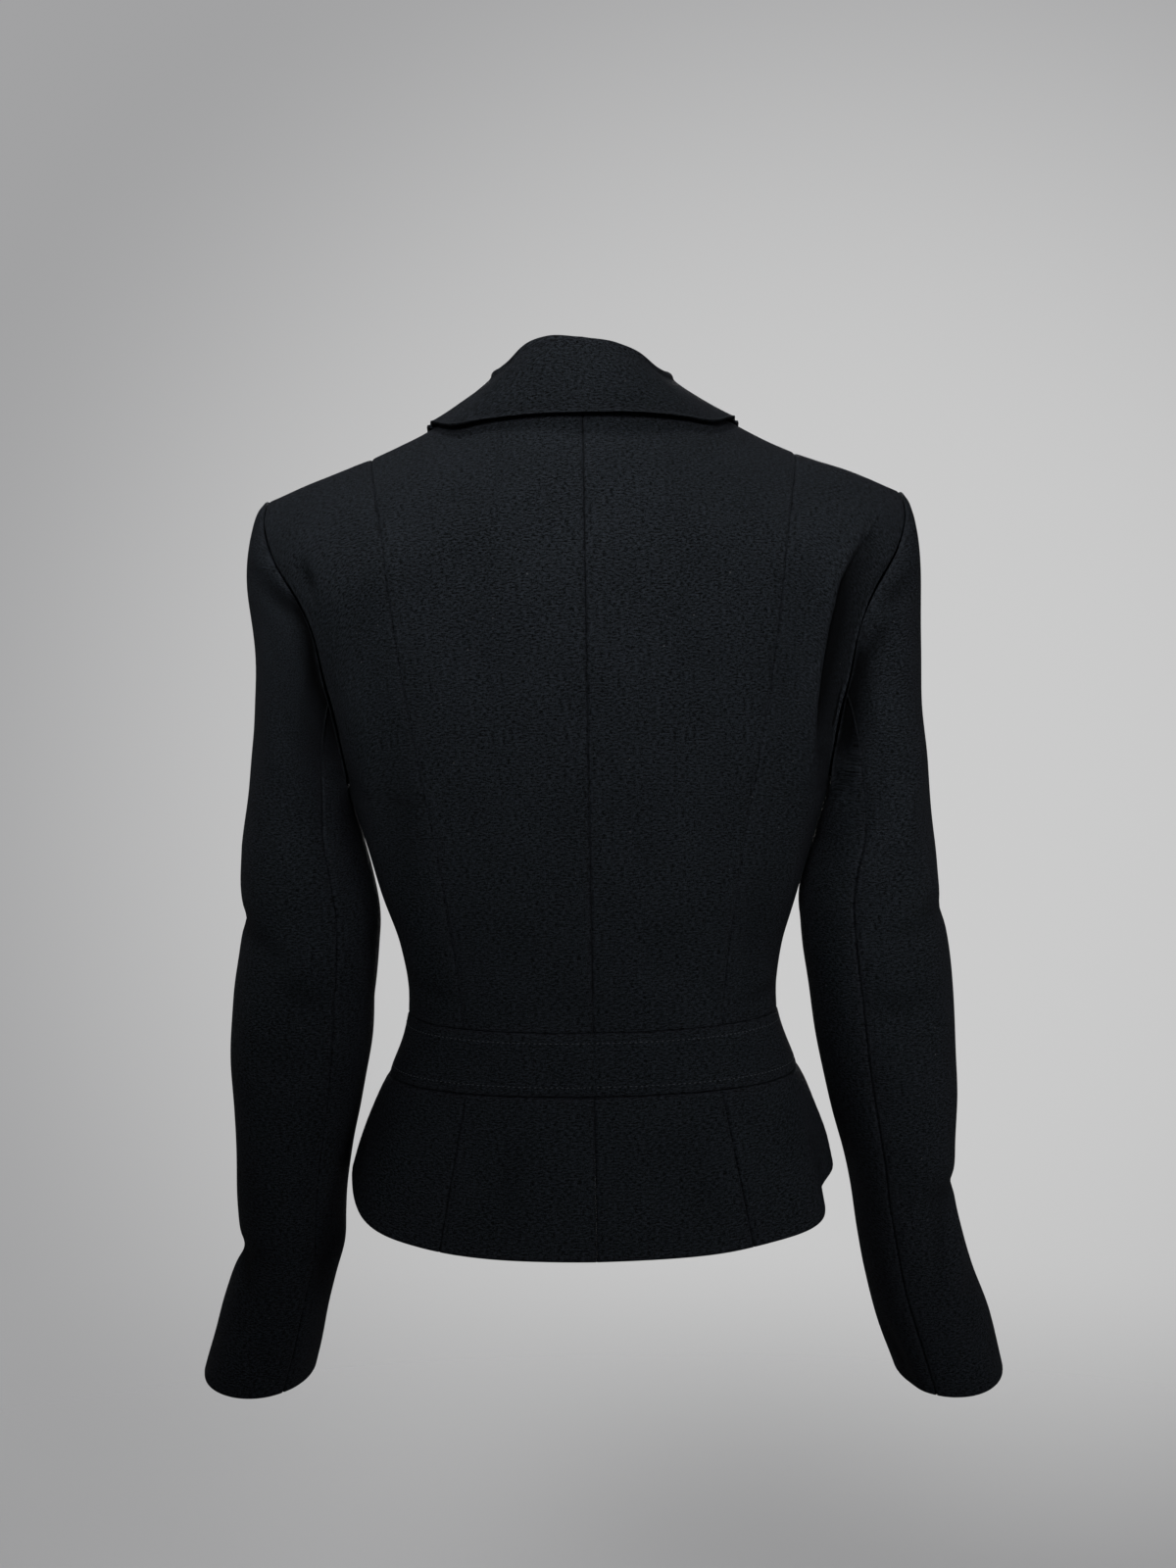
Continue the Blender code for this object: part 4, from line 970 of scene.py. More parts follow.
for half in ("left", "right"):
    for part in ("back", "front"):
        heights = WAIST_BOTTOM_Z + (WAIST_TOP_Z - WAIST_BOTTOM_Z) * steps(BAND_ROWS)
        grid = band_lines(part, steps(BAND_COLUMNS[part]), heights)
        ends = {"set_in": "first last"} if part == "back" else {"set_in": "first", "edges": "last"}
        add_panel(f"waistband_{part}_{half}", half, grid, "bottom top", lapped=part == "front",
                  lift=BAND_LIFT, **ends)
print("waistband:", [n for n in cloths if n.startswith("waistband")])

# %% [markdown]
# ## Peplum
# The skirt of the jacket flares from the waistband to the hem. The flare is more than the body
# needs, so it stands in soft cones at the sides, deeper towards the hem.

# %% Peplum
PEPLUM = rows_of(
    "fall half_width back_depth front_depth squareness",
    (0.00, 0.1380, 0.0945, 0.0975, 2.2),
    (0.15, 0.1440, 0.0985, 0.1020, 2.2),
    (0.40, 0.1515, 0.1055, 0.1090, 2.2),
    (0.70, 0.1595, 0.1140, 0.1170, 2.2),
    (1.00, 0.1650, 0.1220, 0.1240, 2.2),
)
HEM = rows_of(
    "angle z",
    (0.0, -0.556),
    (35.0, -0.554),
    (65.0, -0.5445),
    (90.0, -0.5270),
    (125.0, -0.5390),
    (180.0, -0.548),
    (200.0, -0.548),
)
PEPLUM_SEAM = rows_of("fall x", (0.0, 0.0830), (0.5, 0.0920), (1.0, 0.1010))
PEPLUM_FOLD_POWER = 1.3       # the folds open faster towards the hem
PEPLUM_FOLDS = rows_of(
    "side angle half_angle height",
    ("left", 60.0, 15.0, 0.0030),
    ("left", 108.0, 16.0, 0.0050),
    ("left", 138.0, 13.0, -0.0050),
    ("right", 55.0, 12.0, 0.0050),
    ("right", 76.0, 9.0, -0.0100),
    ("right", 100.0, 12.0, -0.0020),
    ("right", 135.0, 13.0, -0.0050),
)
PEPLUM_ROWS, PEPLUM_COLUMNS = 72, {"back": 54, "side": 54, "front": 88}


def peplum_point(side, angle, fall):
    """Point on the right half of the peplum at a share of the way down to the hem."""
    x, y = section(PEPLUM, angle, fall)
    sine, cosine = np.sin(angle), np.cos(angle)
    for fold in PEPLUM_FOLDS:
        if fold.side == side:
            near = np.exp(-((np.degrees(angle) - fold.angle) / fold.half_angle) ** 2)
            swell = fold.height * near * np.clip(fall, 0.0, None) ** PEPLUM_FOLD_POWER
            x, y = x + swell * sine, y - swell * cosine
    hem_z = read(HEM, "z", np.degrees(angle))
    z = WAIST_BOTTOM_Z + (hem_z - WAIST_BOTTOM_Z) * fall
    return np.stack((x, y, z), axis=-1)


def peplum_normal(side, angle, fall):
    turn, step = 0.01, 0.02
    along = peplum_point(side, angle + turn, fall) - peplum_point(side, angle - turn, fall)
    down = peplum_point(side, angle, fall + step) - peplum_point(side, angle, fall - step)
    return unit(np.cross(down, along))


def add_peplum(side):
    fall = 1 - steps(PEPLUM_ROWS)
    seam = section_angle(PEPLUM, read(PEPLUM_SEAM, "x", fall), fall)
    edge = section_angle(PEPLUM, -FRONT_OVERLAP, fall, front=True)
    quarter = np.full_like(fall, np.pi / 2)
    borders = {"back": (np.zeros_like(fall), seam), "side": (seam, quarter), "front": (quarter, edge)}
    for part, (start, end) in borders.items():
        angle = start[:, None] + (end - start)[:, None] * steps(PEPLUM_COLUMNS[part])[None]
        down = fall[:, None] + np.zeros_like(angle)
        points, normals = peplum_point(side, angle, down), peplum_normal(side, angle, down)
        if part == "front":
            level = unit(normals * np.array([1.0, 1.0, 0.0]))
            points = points + level * overlap_lift(side, points)[..., None]
        seams, edges = ("first top", "last bottom") if part == "front" else ("first last top", "bottom")
        add_cloth(f"peplum_{part}_{side}", side, points, normals, "peplum", seams, edges)


for half in ("left", "right"):
    add_peplum(half)
print("peplum:", [n for n in cloths if n.startswith("peplum")])

# %% [markdown]
# ## Sleeves
# A tailored sleeve is cut in two, a wide top sleeve and a narrow under sleeve, so that it can bend
# with the arm. Its head starts on the armhole edge, runs out over the shoulder and turns down. A
# Hermite curve does that for every column, and level rings carry on from there to the cuff. A
# strip of seam allowance inside the armhole keeps light out of the seam; its cloth is painted in
# full shade.

# %% Sleeve sections
SLEEVE_FRONT_SEAM, SLEEVE_BACK_SEAM = -113.0, {"left": 124.0, "right": 113.0}
CAP_LEAVE, CAP_ARRIVE, CAP_SPREAD = 0.22, 1.1, 0.09
CAP_DROOP, CAP_FULL, CAP_RISE = 0.5, 0.12, 0.05
SLEEVE_DIP, DIP_FROM = {"left": 0.0085, "right": 0.0045}, (0.200, 0.232)
DIP_Z, DIP_REACH = -0.198, 0.072
SLEEVE_COLUMNS = "z outer_x inner_x centre_y half_depth lean"
SLEEVES = {
    "left": rows_of(
        SLEEVE_COLUMNS,
        (-0.672, 0.2760, 0.1985, 0.030, 0.0450, 0.17),
        (-0.640, 0.2660, 0.1900, 0.026, 0.0440, 0.16),
        (-0.605, 0.2545, 0.1815, 0.022, 0.0440, 0.14),
        (-0.580, 0.2455, 0.1745, 0.019, 0.0445, 0.12),
        (-0.560, 0.2465, 0.1730, 0.017, 0.0455, 0.11),
        (-0.520, 0.2460, 0.1680, 0.012, 0.0480, 0.08),
        (-0.483, 0.2455, 0.1600, 0.008, 0.0500, 0.06),
        (-0.446, 0.2460, 0.1530, 0.004, 0.0525, 0.04),
        (-0.405, 0.2435, 0.1490, 0.002, 0.0545, 0.02),
        (-0.372, 0.2375, 0.1475, 0.000, 0.0560, 0.01),
        (-0.352, 0.2345, 0.1470, 0.000, 0.0570, 0.0),
        (-0.325, 0.2355, 0.1505, 0.000, 0.0585, 0.0),
        (-0.300, 0.2345, 0.1555, 0.000, 0.0600, 0.0),
    ),
    "right": rows_of(
        SLEEVE_COLUMNS,
        (-0.679, 0.2830, 0.2075, 0.030, 0.0450, 0.17),
        (-0.640, 0.2740, 0.1945, 0.026, 0.0440, 0.16),
        (-0.605, 0.2605, 0.1855, 0.022, 0.0440, 0.14),
        (-0.580, 0.2535, 0.1810, 0.019, 0.0445, 0.12),
        (-0.545, 0.2460, 0.1755, 0.016, 0.0460, 0.10),
        (-0.520, 0.2470, 0.1705, 0.012, 0.0480, 0.08),
        (-0.483, 0.2480, 0.1610, 0.008, 0.0500, 0.06),
        (-0.446, 0.2460, 0.1535, 0.004, 0.0525, 0.04),
        (-0.405, 0.2440, 0.1475, 0.002, 0.0545, 0.02),
        (-0.372, 0.2405, 0.1435, 0.000, 0.0560, 0.01),
        (-0.340, 0.2355, 0.1430, 0.000, 0.0575, 0.0),
        (-0.300, 0.2315, 0.1555, 0.000, 0.0600, 0.0),
    ),
}
print("sleeve rings:", {side: len(rings) for side, rings in SLEEVES.items()})


# %% Sleeve head and rings
def sleeve_foot(side, t, front, out=ARMHOLE_GAP, sunk=None):
    """Start of the sleeve on one armhole edge, a seam gap clear of the body panel."""
    lines = armhole_line(t, front)
    points = body_point(side, lines[:, 0], lines[:, 1])
    normals = body_normal(side, lines[:, 0], lines[:, 1])
    nudge = 0.01
    before = armhole_line(np.clip(t - nudge, 0, 1), front)
    after = armhole_line(np.clip(t + nudge, 0, 1), front)
    tangents = body_point(side, after[:, 0], after[:, 1]) - body_point(side, before[:, 0], before[:, 1])
    outward = unit(np.cross(normals, tangents if front else -tangents))
    aside = ARMHOLE_GAP + UNDERARM_GAP * (1 - ease(0.0, UNDERARM_SHARE, t))
    if sunk is not None:
        aside = np.full_like(t, -sunk)
    return points + out * outward + aside[:, None] * normals


ROUND_PLACES = (0.0, 5.0, 10.0, 13.0, 16.0)   # front seam, shoulder tip, back seam, underarm, front seam
ARMHOLE_PLACES = 8.0                          # places from the underarm to the shoulder tip


def sleeve_feet(side, place, **lie):
    """Start of each column on the armhole, by its place round the sleeve."""
    _, tip, _, underarm, _ = ROUND_PLACES
    rise = np.clip(1 + (place - tip) / ARMHOLE_PLACES, 0, 1)
    fall = np.clip(1 - (place - tip) / ARMHOLE_PLACES, 0, 1)
    under = np.clip((place - underarm) / ARMHOLE_PLACES, 0, 1)
    up_front, down_back = sleeve_foot(side, rise, True, **lie), sleeve_foot(side, fall, False, **lie)
    back_up = sleeve_foot(side, under, True, **lie)
    picked = np.where((place <= tip)[:, None], up_front, down_back)
    return np.where((place > underarm)[:, None], back_up, picked)


def sleeve_ring(side, degrees, z):
    """Points of one section of the sleeve, on the right half."""
    table, turn = SLEEVES[side], np.radians(degrees)
    outer, inner = read(table, "outer_x", z), read(table, "inner_x", z)
    x = (outer + inner) / 2 + (outer - inner) / 2 * np.cos(turn)
    reach = -read(table, "half_depth", z) * np.sin(turn)
    y = read(table, "centre_y", z) + reach
    return np.stack((x, y, z + read(table, "lean", z) * reach), axis=-1)


def sleeve_cap(side, start, degrees, share):
    """Curve from the armhole (0) to the first level section (1), rounding over the sleeve head."""
    end = sleeve_ring(side, degrees, np.full(len(degrees), SLEEVES[side][-1].z))
    turn = np.radians(degrees)
    under = (1 - np.cos(turn)) / 2
    leave = np.stack((1 - CAP_DROOP * under, -CAP_FULL * np.sin(turn), CAP_RISE - under), axis=-1)
    chord = np.linalg.norm(end - start, axis=-1, keepdims=True)
    leave = unit(leave) * chord * CAP_LEAVE
    spread = CAP_SPREAD * np.cos(turn)
    arrive = np.stack((spread, np.zeros_like(spread), np.full_like(spread, -CAP_ARRIVE)), axis=-1) * chord
    return hermite(share, start, leave, end, arrive)


def below_head(side, points):
    """The rows of a sleeve, drawn in on the outside below its rounded head."""
    outer = ease(*DIP_FROM, points[..., 0])
    dip = SLEEVE_DIP[side] * outer * np.exp(-((points[..., 2] - DIP_Z) / DIP_REACH) ** 2)
    return points - dip[..., None] * np.array([1.0, 0.0, 0.0])


# %% Top and under sleeves
TOP_COLUMNS, UNDER_COLUMNS, CAP_ROWS, ARM_ROWS, CAP_CROWDING = 96, 58, 54, 130, 1.3
ALLOWANCE_COLUMNS, ALLOWANCE_ROWS, ALLOWANCE_DEPTH, ALLOWANCE_REACH = 200, 5, 0.0026, (-0.004, 0.0016)


def add_sleeve(side):
    table, (start, tip, back_seam, underarm, end) = SLEEVES[side], ROUND_PLACES
    top = start + (back_seam - start) * steps(TOP_COLUMNS, (tip - start) / (back_seam - start))
    under = back_seam + (end - back_seam) * steps(UNDER_COLUMNS, (underarm - back_seam) / (end - back_seam))
    place = np.concatenate((top[:-1], under[:-1]))
    seams = (SLEEVE_FRONT_SEAM, SLEEVE_BACK_SEAM[side], 360 + SLEEVE_FRONT_SEAM)
    degrees = np.interp(place, (start, back_seam, end), seams)
    feet = sleeve_feet(side, place)
    arm_z = table[-1].z + (table[0].z - table[-1].z) * np.sin(np.linspace(0, np.pi / 2, ARM_ROWS + 1))[1:]
    rows = [sleeve_cap(side, feet, degrees, t) for t in np.linspace(0, 1, CAP_ROWS + 1) ** CAP_CROWDING]
    rows += [sleeve_ring(side, degrees, np.full(len(degrees), z)) for z in arm_z]
    points = below_head(side, np.array(rows))[::-1]
    round_way = np.roll(points, -1, axis=1) - np.roll(points, 1, axis=1)
    normals = unit(np.cross(np.gradient(points, axis=0), round_way))
    columns = {
        "top": np.arange(TOP_COLUMNS + 1),
        "under": np.arange(TOP_COLUMNS, TOP_COLUMNS + UNDER_COLUMNS + 1) % len(place),
    }
    for part, pick in columns.items():
        cloth = f"{side} sleeve"
        grid, facing = points[:, pick][:, ::-1], normals[:, pick][:, ::-1]
        add_cloth(f"sleeve_{part}_{side}", side, grid, facing, cloth, "first last", "bottom", "top")


def add_allowance(side):
    """The sleeve's seam allowance inside the armhole, which keeps light out of the seam, painted in full
    shade.
    """
    place = np.linspace(ROUND_PLACES[0], ROUND_PLACES[-1], ALLOWANCE_COLUMNS + 1)
    walls = []
    for sunk in (ALLOWANCE_DEPTH, ALLOWANCE_DEPTH + CLOTH / 2):
        reach = np.linspace(*ALLOWANCE_REACH, ALLOWANCE_ROWS)
        rows = [sleeve_feet(side, place, out=out, sunk=sunk) for out in reach]
        wall = mirrored(np.array(rows), side)
        walls.append(wall if side == "right" else wall[:, ::-1])
    name = f"armhole_allowance_{side}"
    # painted shade: the whole strip is painted in full shade, as dark as the deepest crease
    mesh = shell_mesh(name, *walls, edge_distances(walls[0]), np.full(walls[0].shape[:2], -FULL_SHADE_DEPTH))
    add_piece(name, mesh, crepe)


for half in ("left", "right"):
    add_sleeve(half)
    add_allowance(half)
print("sleeves:", [n for n in cloths if n.startswith("sleeve")])

# %% [markdown]
# ## Lapels
# A lapel is the front itself, turned back along the roll line. The shell lies on the front and
# then curls round the roll, so that no cut edge shows where the cloth folds over.

# %% Lapels
LAPEL_DROP, LAPEL_TIP_X, LAPEL_TIP_Z = 0.006, 0.106, -0.104
LAPEL_FOOT = 0.006
LAPEL_SPRING, LAPEL_BULGE = 0.0010, 0.007
LAPEL_ROWS, LAPEL_COLUMNS, ROLL_COLUMNS = 90, 36, 10
ROLL_RADIUS, ROLL_END = 0.0021, np.radians(150)


def lapel_flat(side, t, across):
    """X and height of the lapel's points: t up its length, across from the roll (0) to its edge (1)."""
    start_z = lapel_start(side)
    roll_z = start_z + (GORGE_Z - LAPEL_DROP - start_z) * t
    roll = np.stack((roll_x(roll_z) + CLOTH, roll_z), axis=-1)
    tip_share = (start_z - BREAK_Z) / (LAPEL_TIP_Z - BREAK_Z)
    start_width = LAPEL_FOOT + (LAPEL_TIP_X - roll_x(LAPEL_TIP_Z) - LAPEL_FOOT) * tip_share
    edge_x = roll_x(start_z) + start_width
    edge_x = edge_x + (LAPEL_TIP_X - edge_x) * t + LAPEL_BULGE * np.sin(np.pi * t)
    edge = np.stack((edge_x, start_z + (LAPEL_TIP_Z - start_z) * t), axis=-1)
    return roll[:, None] * (1 - across[None, :, None]) + edge[:, None] * across[None, :, None]


def add_lapel(side):
    across = 1 - steps(LAPEL_COLUMNS)
    flat = lapel_flat(side, steps(LAPEL_ROWS), across)
    angle, z = angle_at(flat[..., 0], flat[..., 1], front=True), flat[..., 1]
    ground, normals = body_point(side, angle, z), body_normal(side, angle, z)
    lift = CLOTH + LAYER_GAP + LAPEL_SPRING * np.sqrt(across)[None] + overlap_lift(side, ground)
    points = ground + normals * lift[..., None]
    way_out, up = unit(points[:, -1] - points[:, -2])[:, None], normals[:, -1:]
    turn = np.linspace(0, ROLL_END, ROLL_COLUMNS + 1)[None, 1:, None]
    roll = points[:, -1:] + ROLL_RADIUS * (way_out * np.sin(turn) - up * (1 - np.cos(turn)))
    points = np.concatenate((points, roll), axis=1)
    normals = np.concatenate((normals, up * np.cos(turn) + way_out * np.sin(turn)), axis=1)
    add_cloth(f"lapel_{side}", side, points, normals, "lapel", "", "first bottom top")


for half in ("left", "right"):
    add_lapel(half)
print("lapels:", [n for n in cloths if n.startswith("lapel")])

# %% [markdown]
# ## Collar
# The collar stands up round the neck, rolls over and falls on the shoulders, clear of the cloth
# below it, so that a thin shadow shows under its edge. Each station along the neckline has a short
# section, and smooth curves run through the sections both ways.

# %% Collar
COLLAR_ROLL, COLLAR_RISE, COLLAR_FALL_SHARES = 0.004, 0.0006, (0.35, 0.7, 1.0)
COLLAR_LEAN, COLLAR_LEAN_END = 0.0028, 1.25   # it stands a little higher on the left
COLLAR_STATIONS, COLLAR_COLUMNS = 90, 64
# The rolled top above the stand, in radii of the roll
COLLAR_TOP = rows_of("rise reach", (-1.0, 0.0), (-0.3, 0.3), (0.0, 1.0), (-0.3, 1.7), (-1.5, 2.3))
COLLAR = rows_of(
    "along stand edge_x edge_z stand_off bow",
    (0.00, 0.0310, 0.0000, -0.0265, 0.0055, 0.0035),
    (0.40, 0.0290, 0.0360, -0.0270, 0.0052, 0.0030),
    (0.65, 0.0225, 0.0630, -0.0290, 0.0045, 0.0016),
    (0.85, 0.0114, 0.0840, -0.0310, 0.0038, 0.0002),
    (1.00, 0.0048, 0.0985, -0.0262, 0.0032, -0.0010),
    (1.25, 0.0043, 0.1020, -0.0420, 0.0032, 0.0000),
    (1.60, 0.0065, 0.1005, -0.0575, 0.0034, 0.0010),
    (2.00, 0.0085, 0.0950, -0.0690, 0.0038, 0.0015),
)


def collar_foot(along):
    """Foot of the collar stand on the neckline, and the level direction away from the neck."""
    if along <= 1.0:
        border = back_neckline(np.array([along]))
    else:
        top = ridge_z(NECK_HALF_WIDTH)
        z = np.array([top + (GORGE_Z - top) * (along - 1.0)])
        border = line(angle_at(roll_x(z), z, front=True), z)
    foot = body_point("", border[:, 0], border[:, 1])[0]
    away = unit(foot * np.array([1.0, 1.0, 0.0]))
    return foot, away


def collar_edge(along):
    """Outer edge of the collar, standing off the body cloth."""
    x = read(COLLAR, "edge_x", along)
    z = np.minimum(read(COLLAR, "edge_z", along), ridge_z(x))
    angle = angle_at(x, z, front=along >= 1.0)
    angle, z = np.atleast_1d(angle), np.atleast_1d(z)
    off = float(read(COLLAR, "stand_off", along))
    return (body_point("", angle, z) + body_normal("", angle, z) * off)[0]


def collar_section(place):
    """Stand, rolled top and fall of the collar at a place along the neckline, for the right half."""
    along = abs(place)
    foot, away = collar_foot(along)
    up = np.array([0.0, 0.0, 1.0])
    lean = COLLAR_LEAN * np.sin(np.pi * min(along / COLLAR_LEAN_END, 1.0)) * np.sign(place)
    stand = float(read(COLLAR, "stand", along)) - lean
    foot = foot + up * COLLAR_RISE - away * CLOTH / 2
    points = [foot]
    for top in COLLAR_TOP:
        points.append(foot + up * (stand + top.rise * COLLAR_ROLL) + away * top.reach * COLLAR_ROLL)
    edge, shoulder = collar_edge(along), points[-1]
    outward = unit(away + up)
    most_bow = float(read(COLLAR, "bow", along))
    for share in COLLAR_FALL_SHARES:
        bow = most_bow * np.sin(np.pi * share)
        points.append(shoulder + (edge - shoulder) * share + outward * bow)
    return np.array(points)


def add_collar():
    half = np.linspace(0, 2, COLLAR_STATIONS + 1)
    along = np.concatenate((-half[:0:-1], half))
    sections = [mirrored(collar_section(a), "right" if a >= 0 else "left") for a in along]
    knots = np.linspace(0, 1, len(sections[0]))
    points = np.stack([smooth(knots, each, steps(COLLAR_COLUMNS)) for each in sections], axis=1)
    normals = unit(np.cross(np.gradient(points, axis=1), np.gradient(points, axis=0)))
    add_cloth("collar", "right", points, normals, "collar", "", "bottom top first last")


add_collar()
print("collar:", round(cloths["collar"].width, 3), "m along its edge")

# %% [markdown]
# ## Buttons
# Plain four-hole buttons close the front. A profile turned about an axis makes the dished disc, a
# Boolean cuts the four holes, and thread crosses between them in two bars.

# %% Buttons
BUTTON_RADIUS, BUTTON_HEIGHT, BUTTON_HEIGHTS = 0.0095, 0.0036, (-0.304, -0.366, -0.4365)
BUTTON_PROFILE = [(0.0, 0.52), (0.30, 0.52), (0.56, 0.56), (0.66, 0.72), (0.72, 0.90), (0.79, 0.99),
                  (0.85, 1.0), (0.92, 0.95), (0.98, 0.80), (1.0, 0.58), (0.99, 0.34), (0.94, 0.12),
                  (0.84, 0.0), (0.0, 0.0)]
DRILL_PROFILE = [(0.0, 3.0), (1.0, 3.0), (1.0, -1.0), (0.0, -1.0)]
BUTTON_SIDES, HOLE_RADIUS, HOLE_SPREAD, HOLE_SIDES = 72, 0.00105, 0.0021, 20
BUTTON_SHARP_EDGE = np.radians(38)
THREAD_RADIUS, THREAD_ARCH, THREAD_SINK, THREAD_POINTS = 0.00042, 0.0009, 0.0006, 15
STRAND_PITCH = 1.3            # strands lie this many radii apart
TUBE_GUIDE = (0.12, 0.31, 0.94)   # no tube runs along this direction
TUBE_END, TUBE_TAPER = 0.96, 6


def turned(profile, radius, height, sides):
    """Points and faces of a profile turned about Z; its first and last points lie on the axis."""
    inner = profile[1:-1]
    turns = np.linspace(0, 2 * np.pi, sides, endpoint=False)
    points = [(r * radius * np.cos(t), r * radius * np.sin(t), h * height)
              for r, h in inner for t in turns]
    faces = []
    for ring in range(len(inner) - 1):
        for k in range(sides):
            a, b = ring * sides + k, ring * sides + (k + 1) % sides
            faces.append((a + sides, b + sides, b, a))
    faces.append(tuple(range(sides)))
    faces.append(tuple(range((len(inner) - 1) * sides, len(inner) * sides))[::-1])
    return points, faces


def cut_holes(disc, tool):
    """Mesh of the disc with the tool taken out of it."""
    cut = disc.modifiers.new("holes", "BOOLEAN")
    cut.operation, cut.object, cut.solver = "DIFFERENCE", tool, "EXACT"
    graph = bpy.context.evaluated_depsgraph_get()
    return bpy.data.meshes.new_from_object(disc.evaluated_get(graph))


def button_mesh():
    points, faces = turned(BUTTON_PROFILE, BUTTON_RADIUS, BUTTON_HEIGHT, BUTTON_SIDES)
    plain = bpy.data.meshes.new("plain_disc")
    plain.from_pydata(points, [], faces)
    disc = bpy.data.objects.new("plain_disc", plain)
    drill_points, drill_faces = [], []
    for x in (-HOLE_SPREAD, HOLE_SPREAD):
        for y in (-HOLE_SPREAD, HOLE_SPREAD):
            drill, sides = turned(DRILL_PROFILE, HOLE_RADIUS, BUTTON_HEIGHT, HOLE_SIDES)
            start = len(drill_points)
            drill_points += [(px + x, py + y, pz) for px, py, pz in drill]
            drill_faces += [tuple(start + k for k in face) for face in sides]
    bits = bpy.data.meshes.new("drill")
    bits.from_pydata(drill_points, [], drill_faces)
    tool = bpy.data.objects.new("drill", bits)
    for each in (disc, tool):
        scene.collection.objects.link(each)
    mesh = cut_holes(disc, tool)
    for each in (disc, tool):
        bpy.data.objects.remove(each, do_unlink=True)
    mesh.shade_smooth()
    mesh.set_sharp_from_angle(angle=BUTTON_SHARP_EDGE)
    return mesh


def thread_bars():
    """Two bars of thread over the button's holes, each an arch of a few strands."""
    paths = []
    floor_h = BUTTON_PROFILE[1][1] * BUTTON_HEIGHT
    for y in (-HOLE_SPREAD, HOLE_SPREAD):
        for strand in (-1, 0, 1):
            t = np.linspace(-1, 1, THREAD_POINTS)
            rise = floor_h + THREAD_ARCH * np.sqrt(np.clip(1 - t ** 4, 0, 1)) - THREAD_SINK
            aside = np.full_like(t, y + strand * THREAD_RADIUS * STRAND_PITCH)
            paths.append(np.stack((HOLE_SPREAD * t, aside, rise), axis=-1))
    return tube_mesh("button_thread", paths, THREAD_RADIUS)


def tube_mesh(name, paths, radius, sides=8):
    """One mesh of round tubes along several paths, closed at the ends."""
    points, faces = [], []
    turns = np.linspace(0, 2 * np.pi, sides, endpoint=False)
    for path in paths:
        ahead = unit(np.gradient(path, axis=0))
        aside = unit(np.cross(ahead, np.array(TUBE_GUIDE)))
        above = np.cross(ahead, aside)
        start, rows = sum(len(p) for p in points), len(path)
        narrow = 1 - np.linspace(-TUBE_END, TUBE_END, rows) ** TUBE_TAPER
        ring = aside[:, None] * np.cos(turns)[:, None] + above[:, None] * np.sin(turns)[:, None]
        points.append((path[:, None] + radius * np.sqrt(narrow)[:, None, None] * ring).reshape(-1, 3))
        grid = start + np.arange(rows * sides).reshape(rows, sides)
        after = np.roll(grid, -1, axis=1)
        faces += quads(grid[:-1], after[:-1], after[1:], grid[1:]).tolist()
        faces += [grid[0, ::-1].tolist(), grid[-1].tolist()]
    mesh = bpy.data.meshes.new(name)
    mesh.from_pydata(np.concatenate(points).tolist(), [], faces)
    mesh.shade_smooth()
    return mesh


for number, height in enumerate(BUTTON_HEIGHTS, start=1):
    centre, z = np.array([np.pi]), np.array([height])
    normal = body_normal("right", centre, z)[0]
    lift = CLOTH + LAYER_GAP + 2 * SEAM_GAP + (BAND_LIFT if height < WAIST_TOP_Z else 0.0)
    spot = Matrix.Translation(body_point("right", centre, z)[0] + normal * lift)
    facing = spot @ Vector(normal).to_track_quat("Z", "Y").to_matrix().to_4x4()
    for name, mesh, finish, slot in ((f"button_{number}_disc", button_mesh(), horn, "black_button"),
                                     (f"button_{number}_thread", thread_bars(), thread, "black_crepe")):
        mesh.transform(facing)
        piece = add_piece(name, mesh, finish)
        if slot == "black_button":
            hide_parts(f"button_{number}")
print("buttons:", len(BUTTON_HEIGHTS))

# %% [markdown]
# ## Topstitching
# Two rows of machine stitches hold the waistband flat. A stitch is a tiny arch of thread that
# dips into the cloth at both ends. All of them are joined into one mesh for each piece of band.

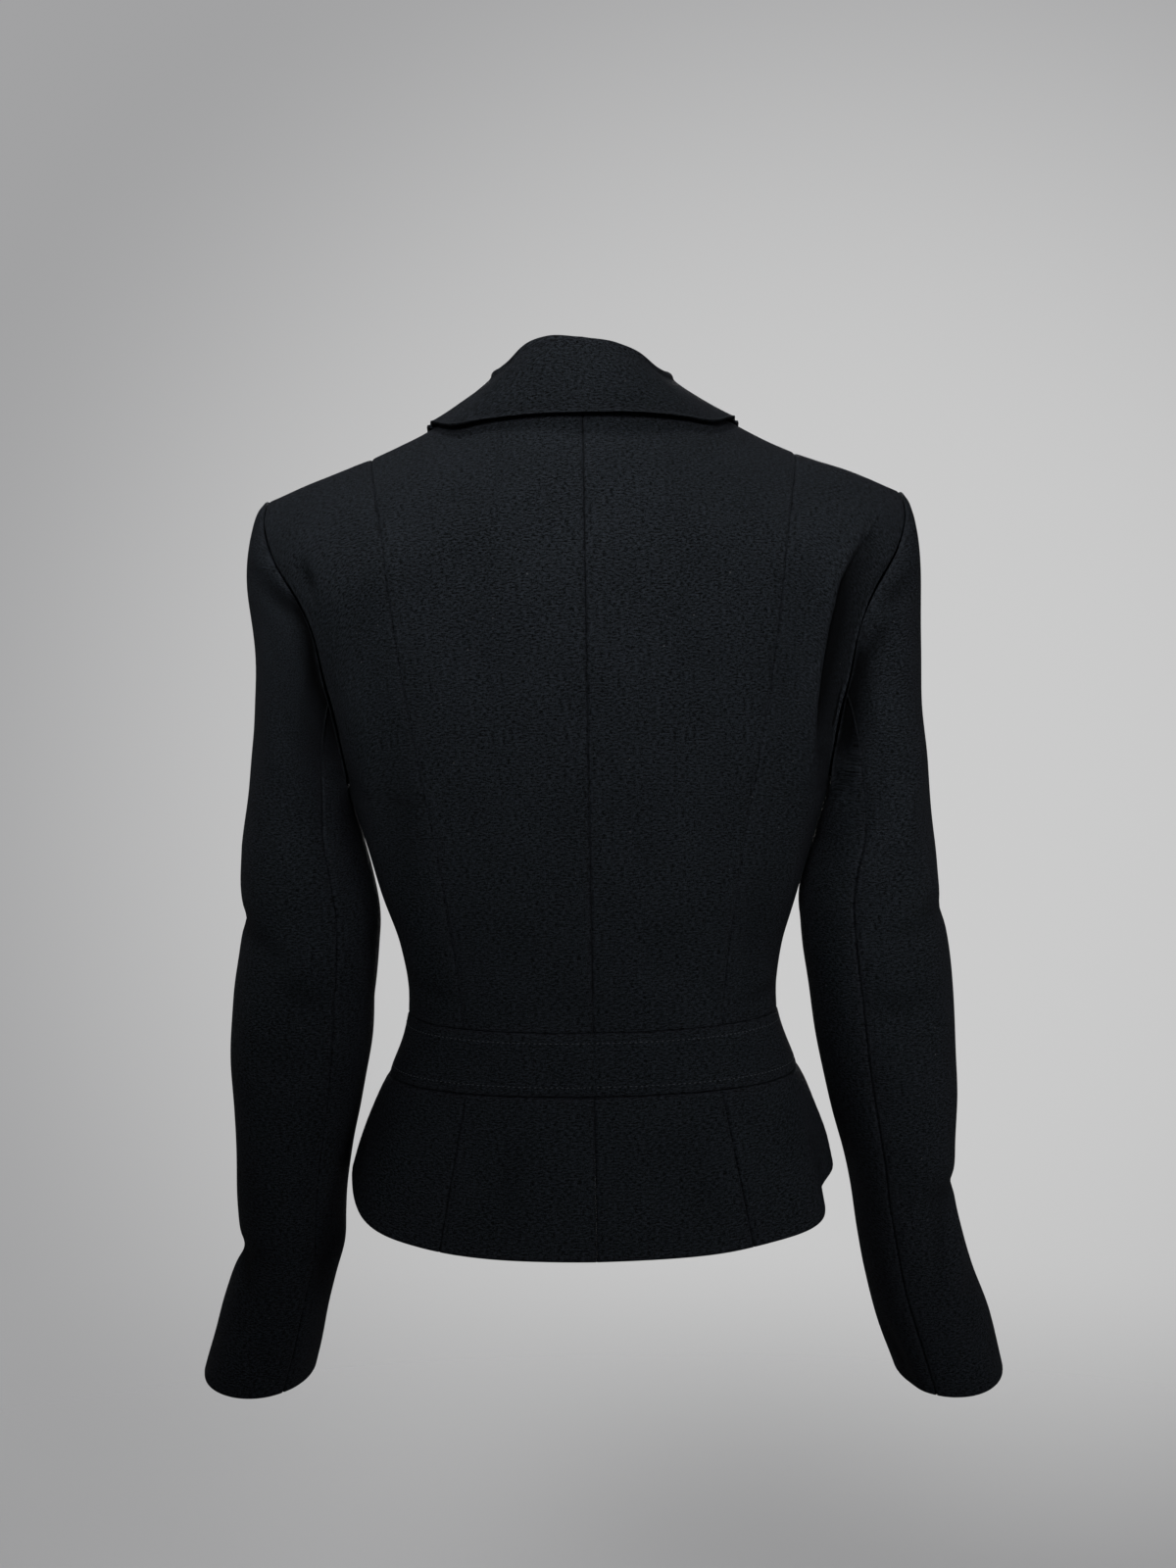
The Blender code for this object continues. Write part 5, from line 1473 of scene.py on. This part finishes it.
# %% Waistband stitches
STITCH, STITCH_GAP, STITCH_RADIUS, STITCH_RISE = 0.0017, 0.0018, 0.00022, 0.00020
BELOW_TOP, ABOVE_BOTTOM = 0.0062, 0.0066
STITCH_ROWS = (WAIST_TOP_Z - BELOW_TOP, WAIST_BOTTOM_Z + ABOVE_BOTTOM)
STITCH_POINTS, BAND_SAMPLES = 7, 800


def stitch_paths(side, part):
    paths, u, t = [], np.linspace(0.0, 1.0, BAND_SAMPLES), np.linspace(0, 1, STITCH_POINTS)
    for height in STITCH_ROWS:
        angle, z = band_lines(part, u, np.full(1, height))[0].T
        ground, normals = body_point(side, angle, z), body_normal(side, angle, z)
        lapped = overlap_lift(side, ground) if part == "front" else 0.0
        ground = mirrored(ground + normals * (BAND_LIFT + lapped + np.zeros(len(u)))[:, None], side)
        normals = mirrored(normals, side)
        ground = ground + normals * drape_lift(ground)[:, None]
        run = np.concatenate(([0.0], np.cumsum(np.linalg.norm(np.diff(ground, axis=0), axis=1))))
        for start in np.arange(STITCH_GAP, run[-1] - STITCH, STITCH + STITCH_GAP):
            at = start + STITCH * t
            path = np.stack([np.interp(at, run, ground[:, k]) for k in range(3)], axis=-1)
            out = np.stack([np.interp(at, run, normals[:, k]) for k in range(3)], axis=-1)
            paths.append(path + out * (STITCH_RISE * np.sin(np.pi * t) - 0.5 * STITCH_RADIUS)[:, None])
    return paths


for half in ("left", "right"):
    for part in ("back", "front"):
        rows_of_thread = stitch_paths(half, part)
        mesh = tube_mesh(f"waistband_{part}_{half}_stitches", rows_of_thread, STITCH_RADIUS, sides=6)
        add_piece(mesh.name, mesh, thread)
        print(mesh.name, len(rows_of_thread), "stitches")

# %% [markdown]
# ## Cut sizes
# Each shell is printed with the size it was cut to, measured along the smooth panel before it
# was creased and rounded up to a millimetre, and with its area.

ROUND_UP = 0.001

for node, cloth in cloths.items():
    kind, _, half = node.rpartition("_")
    node == "collar"
    held = "folded" if kind == "lapel" or node == "collar" else "hung"
    flat = tuple(float(np.ceil(size / ROUND_UP) * ROUND_UP) for size in (cloth.width, cloth.length))
    kind == "sleeve_top"
    print(node, "cut", flat, "m,", round(cloth.area, 4), "m2")
